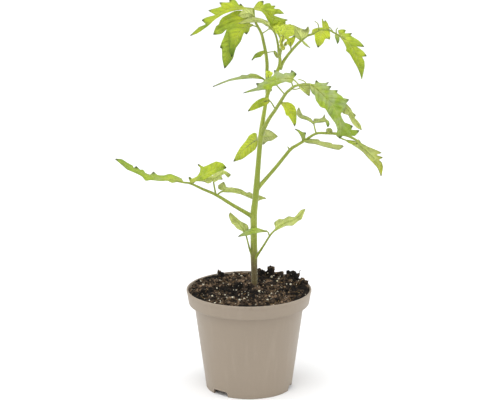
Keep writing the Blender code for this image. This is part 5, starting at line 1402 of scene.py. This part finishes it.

# %% [markdown]
# A flower bud is a closed, pointed body held in five narrow green sepals that almost meet over its
# tip. The body is an icosphere drawn out along the bud's own line, and each sepal is a slender
# tube that follows the body from its base and turns in again at the point.

# %% Flower buds
SEPALS = 5
SEPAL_STEPS = 6
BUD_GREEN = (150, 140, 54)
BUD_BROWN = (40, 26, 18)
BUD_FINISH = stalk_finish("bud_skin", BUD_GREEN, BUD_BROWN, streaked=0.95)
SEPAL_GREEN = (200, 214, 76)
SEPAL_FINISH = stalk_finish("sepal_skin", SEPAL_GREEN, BUD_BROWN, streaked=0.8)


def make_bud(target, root, tip_place, half_length, half_width):
    """One closed bud that points away from the truss, with its sepals."""
    centre = Matrix.Translation(tip_place) @ turn_to((tip_place - root).normalized())
    bm = bmesh.new()
    body = bmesh.ops.create_icosphere(bm, subdivisions=3, radius=1.0)["verts"]
    for vert in body:
        taper = 1.0 - 0.35 * max(0.0, vert.co.z)
        broad = taper * half_width
        vert.co = Vector((vert.co.x * broad, vert.co.y * broad, vert.co.z * half_length))
    bmesh.ops.transform(bm, matrix=centre, verts=body)
    merge_into(target, bm)
    for k in range(SEPALS):
        angle = math.tau * k / SEPALS
        path = []
        for step in range(SEPAL_STEPS + 1):
            part = step / SEPAL_STEPS
            lift = -1.0 + 2.25 * part
            reach = half_width * (0.25 + 0.95 * math.sin(math.pi * min(1.0, 0.16 + 0.8 * part)))
            spot = Vector((reach * math.cos(angle), reach * math.sin(angle), lift * half_length))
            broad = math.sin(math.pi * (0.2 + 0.75 * part)) * half_width / 1.4
            path.append((centre @ spot, 0.52 * broad))
        merge_into(target, tube(path, 6, finish=1))


buds = bmesh.new()
truss_path = drawn_path(FLOWER_TRUSS, STALK_STEPS)
merge_into(buds, tube(list(truss_path), TWIG_SIDES, finish=2))
truss_root = seen(*FLOWER_TRUSS[2][:3])
for across, up, toward, half_length, half_width in BUDS:
    tip_place = seen(across, up, toward)
    make_bud(buds, truss_root, tip_place, half_length, half_width)
    half_way = truss_root.lerp(tip_place, 0.5)
    merge_into(buds, tube([(truss_root, 0.5), (half_way, 0.45), (tip_place, 0.5)], 6, 2))
finished("flower_buds_fine", buds, [BUD_FINISH, SEPAL_FINISH, STALK_FINISH], "flower_bud", "flower_buds")

# %% [markdown]
# The pot is a turned shape, so its outline is drawn once and spun round the axis. The solid has 56
# sides and flat corners; this one has three times as many, and its rim, collar and foot are rounded
# with a bevel, because a moulded edge that catches a thin line of light is what tells plastic from
# card. The notches and drain holes are then cut with Booleans, as in the solid.

# %% Pot
POT_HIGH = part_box("pot")[1] / MM
POT_HEIGHT = POT_HIGH.z
RIM_RADIUS = POT_HIGH.x
COLLAR_FOOT_RADIUS = RIM_RADIUS - 2.3
COLLAR_BOTTOM = POT_HEIGHT - 14.6
BODY_TOP_RADIUS = RIM_RADIUS - 7.6
FOOT_RADIUS = RIM_RADIUS - 19.5
WALL = 1.6
FLOOR_LEVEL = 6.0
FLOOR_THICKNESS = 2.0
POT_SIDES = 168
NOTCH_HEIGHT = 5.2
NOTCH_ROUNDING = 2.6
NOTCH_HALF_ANGLE = math.radians(12.5)
NOTCH_ANGLES = [math.radians(a) for a in (-132.0, -12.0, 108.0)]
DRAIN_RADIUS = 4.5
DRAIN_CIRCLE = 31.0


def inner_radius(z):
    """Radius of the pot's inside at a height, below the collar or in it."""
    if z < COLLAR_BOTTOM + WALL:
        return FOOT_RADIUS - WALL + (BODY_TOP_RADIUS - FOOT_RADIUS) * z / COLLAR_BOTTOM
    part = (z - COLLAR_BOTTOM) / (POT_HEIGHT - COLLAR_BOTTOM)
    return COLLAR_FOOT_RADIUS - WALL + (RIM_RADIUS - COLLAR_FOOT_RADIUS) * part


def turned(profile, sides):
    """Spin an (r, z) outline round the pot's axis into a closed body."""
    bm = bmesh.new()
    rows = [bm.verts.new((r, 0.0, z)) for r, z in profile]
    edges = [bm.edges.new((a, b)) for a, b in zip(rows, rows[1:])]
    turn = {"cent": (0, 0, 0), "axis": (0, 0, 1), "angle": math.tau}
    bmesh.ops.spin(bm, geom=rows + edges, steps=sides, use_merge=True, **turn)
    bmesh.ops.remove_doubles(bm, verts=bm.verts, dist=1e-3)
    bmesh.ops.recalc_face_normals(bm, faces=bm.faces)
    return bm


def round_rings(bm, low, high, offset, segments=3):
    """Bevel the sharp level rings between two heights."""
    rings = []
    for edge in bm.edges:
        a, b = edge.verts
        level = abs(a.co.z - b.co.z) < 1e-3 and abs(a.co.xy.length - b.co.xy.length) < 1e-3
        if level and low < a.co.z < high and edge.calc_face_angle(0.0) > math.radians(20):
            rings.append(edge)
    round_off = {"offset": offset, "segments": segments, "profile": 0.5}
    bmesh.ops.bevel(bm, geom=rings, affect="EDGES", material=-1, **round_off)


def cut_from(piece_bm, cutter_bm):
    """A bmesh minus another one, by an applied Boolean."""
    holders = []
    for name, bm in (("cut_body", piece_bm), ("cutter", cutter_bm)):
        mesh = bpy.data.meshes.new(name)
        bm.to_mesh(mesh)
        bm.free()
        holders.append(new_object(name, mesh))
    body, cutter = holders
    step = body.modifiers.new("cut", "BOOLEAN")
    step.operation, step.solver, step.object = "DIFFERENCE", "MANIFOLD", cutter
    made = bmesh.new()
    made.from_object(body, bpy.context.evaluated_depsgraph_get())
    for holder in holders:
        bpy.data.objects.remove(holder, do_unlink=True)
    return made


def carried_round(bm, out, up, angle):
    """Move a cutter out and up from the pot's foot, then round its axis."""
    there = Matrix.Rotation(angle, 4, "Z") @ Matrix.Translation((out, 0.0, up))
    bmesh.ops.transform(bm, matrix=there, verts=bm.verts)
    return bm


def notch_cutter(angle):
    """A block with a rounded top that cuts a drain notch into the foot ring."""
    bm = bmesh.new()
    bmesh.ops.create_cube(bm, size=1.0)
    half_width = FOOT_RADIUS * math.sin(NOTCH_HALF_ANGLE)
    bmesh.ops.scale(bm, vec=(10.0, 2 * half_width, 2 * NOTCH_HEIGHT), verts=bm.verts)
    high = [e for e in bm.edges if all(v.co.z > 0 for v in e.verts)]
    upper = [e for e in high if abs(e.verts[0].co.y - e.verts[1].co.y) < 1e-6]
    round_off = {"offset": NOTCH_ROUNDING, "segments": 6, "profile": 0.5}
    bmesh.ops.bevel(bm, geom=upper, affect="EDGES", material=-1, **round_off)
    return carried_round(bm, FOOT_RADIUS - 1.0, 0.0, angle)


def drain_cutter(angle):
    """A round hole through the floor behind a notch."""
    bm = bmesh.new()
    radii = {"radius1": DRAIN_RADIUS, "radius2": DRAIN_RADIUS}
    bmesh.ops.create_cone(bm, cap_ends=True, segments=32, depth=12.0, **radii)
    return carried_round(bm, DRAIN_CIRCLE, FLOOR_LEVEL, angle)


floor_top = FLOOR_LEVEL + FLOOR_THICKNESS
ledge = COLLAR_BOTTOM + WALL
ring_inside = FOOT_RADIUS - 2.2
POT_OUTLINE = [
    (0.0, FLOOR_LEVEL - 0.6), (3.0, FLOOR_LEVEL - 0.6), (3.6, FLOOR_LEVEL), (ring_inside - 1.5, FLOOR_LEVEL),
    (ring_inside, FLOOR_LEVEL - 1.5), (ring_inside, 0.0), (FOOT_RADIUS - 0.05, 0.0),
    (FOOT_RADIUS + 0.6, 5.0), (BODY_TOP_RADIUS, COLLAR_BOTTOM), (COLLAR_FOOT_RADIUS, COLLAR_BOTTOM),
    (RIM_RADIUS - 0.35, POT_HEIGHT - 2.6), (RIM_RADIUS, POT_HEIGHT - 2.2), (RIM_RADIUS, POT_HEIGHT),
    (RIM_RADIUS - WALL, POT_HEIGHT), (inner_radius(ledge + 0.01), ledge),
    (inner_radius(ledge - 0.01), ledge),
    (inner_radius(floor_top), floor_top), (0.0, floor_top),
]
pot = turned(POT_OUTLINE, POT_SIDES)
round_rings(pot, COLLAR_BOTTOM - 0.5, COLLAR_BOTTOM + 0.5, 1.1, 4)
round_rings(pot, POT_HEIGHT - 0.1, POT_HEIGHT + 0.1, 0.6, 4)
round_rings(pot, -0.1, 0.1, 0.5, 3)
round_rings(pot, COLLAR_BOTTOM + 0.6, ledge + 0.1, 0.4, 2)
for angle in NOTCH_ANGLES:
    pot = cut_from(pot, notch_cutter(angle))
    pot = cut_from(pot, drain_cutter(angle))
finished("pot_moulded", pot, [POT_FINISH], "pot_plastic", "pot", crease=30.0)

# %% [markdown]
# The potting mix fills the pot. Its top is spun as level rings, and each point is then lifted by a
# sum of forms: the low mound, the clods and hollows of the solid, and crumbs from a cell pattern,
# which gives the rounded lumps and pits that plain noise lacks. The pits are also darkened with painted
# shade.

# %% Potting mix
SOIL_FORMS = [
    (21.8, 49.0, 8.4, 4.0), (12.4, 48.0, 4.6, 3.6), (43.5, 36.0, 7.6, 6.6), (-28.5, 47.0, 4.6, 3.6),
    (54.0, 18.0, 4.5, 6.0), (55.0, 2.0, 2.5, 6.0), (34.0, 22.0, 3.0, 9.0),
    (-6.0, 1.0, -7.0, 6.5), (-14.0, -9.0, -4.0, 6.0), (4.0, -49.0, -5.0, 5.0), (23.0, -8.0, -4.5, 5.5),
    (-46.0, -14.0, -3.0, 7.0),
]
FORM_STEEPNESS = 1.5
FLAT_TOPS = 1.2
MOUND_HEIGHT = 2.2
MOUND_WIDTH = 38.0
SOIL_CLEARANCE = 0.5
EDGE_SINK = 0.5
EDGE_BAND = 0.05
SOIL_STEPS = 300
SOIL_RINGS = 72
mix_top_radius = inner_radius(POT_HEIGHT - 1.5) - 0.4


def soil_height(x, y):
    """Height of the potting mix: a low mound with clods and hollows, as the solid has."""
    height = POT_HEIGHT - 1.0 + MOUND_HEIGHT * math.exp(-((math.hypot(x, y) / MOUND_WIDTH) ** 2))
    height += 1.5 * noise(Vector((x, y, 3.0)) / 9.0) + 0.9 * noise(Vector((x, y, 8.0)) / 4.2)
    for form_x, form_y, lift, spread in SOIL_FORMS:
        near = math.exp(-(((x - form_x) ** 2 + (y - form_y) ** 2) / spread**2) ** FORM_STEEPNESS)
        height += lift * min(1.0, FLAT_TOPS * near)
    return height


# The clumps, lumps and grains of the crumbly top: (width, height, level, place in the cell pattern)
CRUMB_SIZES = [
    (8.0, 2.6, 0.45, (3.0, 1.0, 4.0)), (4.0, 1.8, 0.5, (0.0, 0.0, 0.0)), (1.9, 0.9, 0.5, (7.0, 3.0, 1.0)),
]


def crumbs(x, y):
    """The crumbly relief on top of the mix's forms."""
    spot = Vector((x, y, 0.0))
    rise = 0.3 * noise(spot / 0.8)
    for width, height, level, start in CRUMB_SIZES:
        rise += height * (level - voronoi(spot / width + Vector(start))[0][0])
    return rise


def mix_top(x, y):
    """Height of the mix's crumbly top."""
    return soil_height(x, y) + crumbs(x, y)


# Where the top of the mix is damp and black, +1, or dry and brown, -1: (x, y, half widths, dampness)
DAMP_PATCHES = [
    (-7.0, -8.0, 9.0, 24.0, 1.4), (-48.0, -28.0, 11.0, 15.0, 1.4), (4.0, -58.0, 9.0, 9.0, 1.4),
    (51.0, -14.0, 9.0, 22.0, 1.4), (15.0, 48.0, 12.0, 14.0, 0.9), (42.0, 38.0, 14.0, 14.0, 0.8),
    (-29.0, -6.0, 13.0, 9.0, 0.6), (22.0, -15.0, 8.0, 8.0, 0.9), (-30.0, 48.0, 7.0, 8.0, 0.8),
    (-42.0, 22.0, 11.0, 11.0, -0.8), (-8.0, 42.0, 10.0, 11.0, -0.8), (-26.0, -50.0, 15.0, 8.0, -0.6),
    (1.0, -38.0, 12.0, 7.0, -0.8), (37.0, -36.0, 9.0, 9.0, -0.9), (-57.0, 4.0, 6.0, 12.0, -0.6),
]


def dampness(x, y):
    """How damp the mix is at a place, from dry, -1, to damp, +1."""
    wet = 0.0
    for patch_x, patch_y, half_x, half_y, sign in DAMP_PATCHES:
        wet += sign * math.exp(-(((x - patch_x) / half_x) ** 2) - ((y - patch_y) / half_y) ** 2)
    return wet


def mark_dampness_and_pit_shade(bm):
    """Keep the dampness of each point of a piece of the mix on the point, with painted shade that darkens
    the pits.
    """
    layer = bm.verts.layers.float.new(DAMPNESS_AND_PIT_SHADE)
    for vert in bm.verts:
        # Painted shade: the pits between the crumbs are darkened as if damper.
        vert[layer] = 0.5 * dampness(vert.co.x, vert.co.y) - 0.13 * crumbs(vert.co.x, vert.co.y)
    return bm


mix_profile = [
    (0.0, floor_top + 0.3), (inner_radius(floor_top) - SOIL_CLEARANCE, floor_top + 0.3),
    (inner_radius(ledge - 0.01) - SOIL_CLEARANCE, ledge + 0.3),
    (inner_radius(ledge + 0.01) - SOIL_CLEARANCE, ledge + 0.3),
]
mix_profile += [(mix_top_radius * (1 - k / SOIL_RINGS), POT_HEIGHT) for k in range(SOIL_RINGS + 1)]
mix = turned(mix_profile, SOIL_STEPS)
for vert in mix.verts:
    if vert.co.z > POT_HEIGHT - 0.01:
        x, y = vert.co.xy
        sunk = EDGE_SINK * max(0.0, math.hypot(x, y) / mix_top_radius - 1.0 + EDGE_BAND) / EDGE_BAND
        vert.co.z = mix_top(x, y) - sunk
finished("potting_mix_crumbly", mark_dampness_and_pit_shade(mix), [MIX_FINISH], "potting_mix", "potting_mix", crease=180.0)

# %% [markdown]
# At the back and right the mix stands over the rim in torn blocks. Real clods of peat break along
# flat, rough faces, so a block is the convex hull of points strewn in a box, cut finer and roughened.
# Many small ones strew the rest of the top as chips of bark.

# %% Torn blocks and chips
LOOSE_RADIUS = mix_top_radius - 1.6
HULL_POINTS = 22
CHIPS = 170
# The larger blocks: (across, up, toward, half width, half height), as seen in front
BLOCKS = [
    (21.8, 17.9, -50, 4.0, 4.4), (9.8, 17.0, -50, 3.0, 4.0), (17.0, 14.2, -49, 2.6, 2.8),
    (25.8, 13.8, -50, 2.6, 2.8), (-29.8, 15.3, -48, 2.2, 3.2), (-27.2, 14.2, -48, 2.0, 2.2),
    (44.0, 14.6, -42, 3.0, 3.2), (39.2, 13.2, -43, 3.0, 2.8), (48.6, 12.4, -38, 2.8, 3.0),
    (53.4, 8.4, -26, 2.6, 2.6), (57.0, 5.6, -14, 2.2, 2.4), (31.0, 14.4, -49, 5.0, 2.4),
    (-3.5, 3.0, 6, 2.4, 2.6), (-5.0, -1.8, 14, 3.6, 1.6), (12.0, -1.5, 14, 2.4, 1.8),
]
# Stiff fibres that stand up at the back: (across, up) of the foot and of the tip, toward, radius
SPIKES = [
    (50.3, 12.5, 50.4, 18.0, -37, 0.4), (50.5, 16.6, 52.3, 18.3, -37, 0.35),
    (59.0, 6.0, 60.2, 10.6, -12, 0.25), (-30.6, 15.0, -31.0, 18.6, -48, 1.0),
    (58.0, 5.5, 57.6, 8.8, -13, 0.3), (24.4, 18.0, 25.6, 21.4, -49, 0.6),
]


def surface_spot(draw, reach=LOOSE_RADIUS):
    """A random place on the mix, evenly spread over its area."""
    angle, out = draw.uniform(0, math.tau), reach * math.sqrt(draw.random())
    x, y = out * math.cos(angle), out * math.sin(angle)
    return Vector((x, y, mix_top(x, y)))


def torn_block(half_width, half_height, cuts, draw):
    """A rough block: the hull of points strewn in a box, cut finer and pushed about."""
    bm = bmesh.new()
    for _ in range(HULL_POINTS):
        x, y, z = random_vector(draw, -1.0, 1.0)
        bmesh.ops.create_vert(bm, co=(half_width * x, 0.8 * half_width * y, half_height * z))
    hull = bmesh.ops.convex_hull(bm, input=bm.verts)
    inside = {item for item in hull["geom_interior"] if isinstance(item, bmesh.types.BMVert)}
    bmesh.ops.delete(bm, geom=list(inside), context="VERTS")
    bmesh.ops.subdivide_edges(bm, edges=bm.edges, cuts=cuts, use_grid_fill=True)
    bmesh.ops.triangulate(bm, faces=bm.faces)
    shift = random_vector(draw, 0.0, 90.0)
    for vert in bm.verts:
        push = noise(vert.co / 1.3 + shift) * 0.26 * half_width + noise(vert.co / 0.5 + shift) * 0.12
        vert.co += vert.co.normalized() * push
    return bm


draw = random.Random(17)
blocks = bmesh.new()
for across, up, toward, half_width, half_height in BLOCKS:
    block = torn_block(half_width, half_height, 3, draw)
    bmesh.ops.translate(block, vec=seen(across, up, toward), verts=block.verts)
    merge_into(blocks, block)
for _ in range(CHIPS):
    size = 0.7 + 2.3 * draw.random() ** 2
    x, y = surface_spot(draw, LOOSE_RADIUS - size).xy
    block = torn_block(size, 0.6 * size, 1, draw)
    turn = turn_to(random_vector(draw, -1.0, 1.0))
    there = Matrix.Translation((x, y, mix_top(x, y) + 0.1 * size)) @ turn
    bmesh.ops.transform(block, matrix=there, verts=block.verts)
    merge_into(blocks, block)
for foot_across, foot_up, tip_across, tip_up, toward, radius in SPIKES:
    foot, tip = seen(foot_across, foot_up, toward), seen(tip_across, tip_up, toward)
    bend = foot.lerp(tip, 0.5) + Vector((0.3, 0.0, 0.0))
    merge_into(blocks, tube([(foot, radius), (bend, 0.8 * radius), (tip, 0.4 * radius)], 5))
finished("torn_blocks", blocks, [BLOCK_FINISH_LIGHTENED], "potting_mix", "potting_mix", crease=40.0)

# %% [markdown]
# Loose things lie on the mix: dark clods of peat, white grains of perlite, and straw-coloured fibres.
# A grain starts as an icosphere of eighty faces, is pushed out of round, squashed, turned at
# random, and half sunk into the mix. The draws are seeded, so each run gives the same surface.

# %% Clods, perlite and fibres
CLODS = 360
PERLITE_GRAINS = 190
FIBRES = 150
FIBRE_STEPS = 4
GRAIN_BATCH = 60
# The largest grains of perlite, as seen in front: (across, up, radius)
LARGE_GRAINS = [
    (-36.8, -8.6, 1.2), (-30.8, -11.3, 0.8), (-23.8, -7.5, 0.8), (-22.4, -10.0, 1.0), (-16.7, -9.8, 1.1),
    (-19.9, 2.6, 1.1), (-12.4, -2.8, 0.9), (-45.8, 3.0, 0.8), (-25.6, 4.3, 0.8), (-4.8, -11.2, 0.9),
    (-9.6, -12.6, 1.2), (-7.6, 11.4, 1.0), (-15.6, 13.7, 0.8), (22.8, 10.5, 1.3), (29.6, 8.8, 0.9),
    (28.4, 6.4, 1.0), (42.6, 12.4, 1.0), (37.6, 3.3, 0.9), (41.6, 3.2, 1.2), (10.2, -3.8, 1.2),
    (22.7, -6.4, 1.1), (28.7, -4.3, 0.9), (20.7, -9.0, 0.9), (40.4, -3.6, 1.1), (18.5, -12.4, 1.0),
]


def on_mix(across, up):
    """The point of the mix that the eye sees at a place on the sheet."""
    near, far = 60.0, -60.0
    for _ in range(24):
        middle = 0.5 * (near + far)
        spot = seen(across, up, middle)
        if spot.z > mix_top(spot.x, spot.y):
            near = middle
        else:
            far = middle
    return spot


def scattered_grains(count, sizes, subdivisions, roughness, sunk, draw):
    """Many rough grains, each of a random size, shape and turn, sunk into the mix."""
    target, batch = bmesh.new(), bmesh.new()
    for number in range(count):
        size = draw.uniform(*sizes) * draw.uniform(0.6, 1.0)
        spot = surface_spot(draw, LOOSE_RADIUS - size)
        stretch = random_vector(draw, 0.65, 1.2) * size
        turn = turn_to(random_vector(draw, -1.0, 1.0))
        verts = bmesh.ops.create_icosphere(batch, subdivisions=subdivisions, radius=1.0)["verts"]
        for vert in verts:
            bump = 1.0 + roughness * noise(2.1 * vert.co + Vector((number, 0.0, 0.0)))
            vert.co = Vector(a * b for a, b in zip(vert.co, stretch)) * bump
        place_there = Matrix.Translation(spot - Vector((0, 0, sunk * size))) @ turn
        bmesh.ops.transform(batch, matrix=place_there, verts=verts)
        if number % GRAIN_BATCH == GRAIN_BATCH - 1:
            merge_into(target, batch)
            batch = bmesh.new()
    merge_into(target, batch)
    return target


def scattered_fibres(count, draw):
    """Thin bent fibres that lie on the mix, some with one end in the air."""
    target = bmesh.new()
    for _ in range(count):
        start = surface_spot(draw, LOOSE_RADIUS - 4.0)
        length, heading = draw.uniform(2.0, 7.5), draw.uniform(0, math.tau)
        bend, rise = draw.uniform(-0.5, 0.5), draw.uniform(0.0, 1.0) ** 3 * 3.0
        radius = draw.uniform(0.1, 0.26)
        path = []
        for step in range(FIBRE_STEPS + 1):
            part = step / FIBRE_STEPS
            run = length * (part - 0.5)
            turn = heading + bend * part
            x, y = start.x + run * math.cos(turn), start.y + run * math.sin(turn)
            if math.hypot(x, y) > LOOSE_RADIUS:
                break
            z = soil_height(x, y) + 0.5 * crumbs(x, y) + 0.5 + rise * part**2
            path.append((Vector((x, y, z)), radius * (1 - 0.56 * part)))
        if len(path) > 2:
            merge_into(target, tube(path, 4))
    return target


draw = random.Random(5)
clods = mark_dampness_and_pit_shade(scattered_grains(CLODS, (0.9, 2.9), 2, 0.75, 0.25, draw))
finished("peat_clods", clods, [CLOD_FINISH], "potting_mix", "potting_mix", crease=180.0)
perlite = scattered_grains(PERLITE_GRAINS, (0.2, 0.8), 2, 0.6, 0.1, draw)
for across, up, radius in LARGE_GRAINS:
    grain = torn_block(radius, 0.8 * radius, 1, draw)
    bmesh.ops.translate(grain, vec=on_mix(across, up) + Vector((0.0, 0.0, 0.6 * radius)), verts=grain.verts)
    merge_into(perlite, grain)
finished("perlite_grains", perlite, [PERLITE_FINISH], "potting_mix", "potting_mix", crease=40.0)
finished("straw_fibres", scattered_fibres(FIBRES, draw), [FIBRE_FINISH], "potting_mix", "potting_mix")
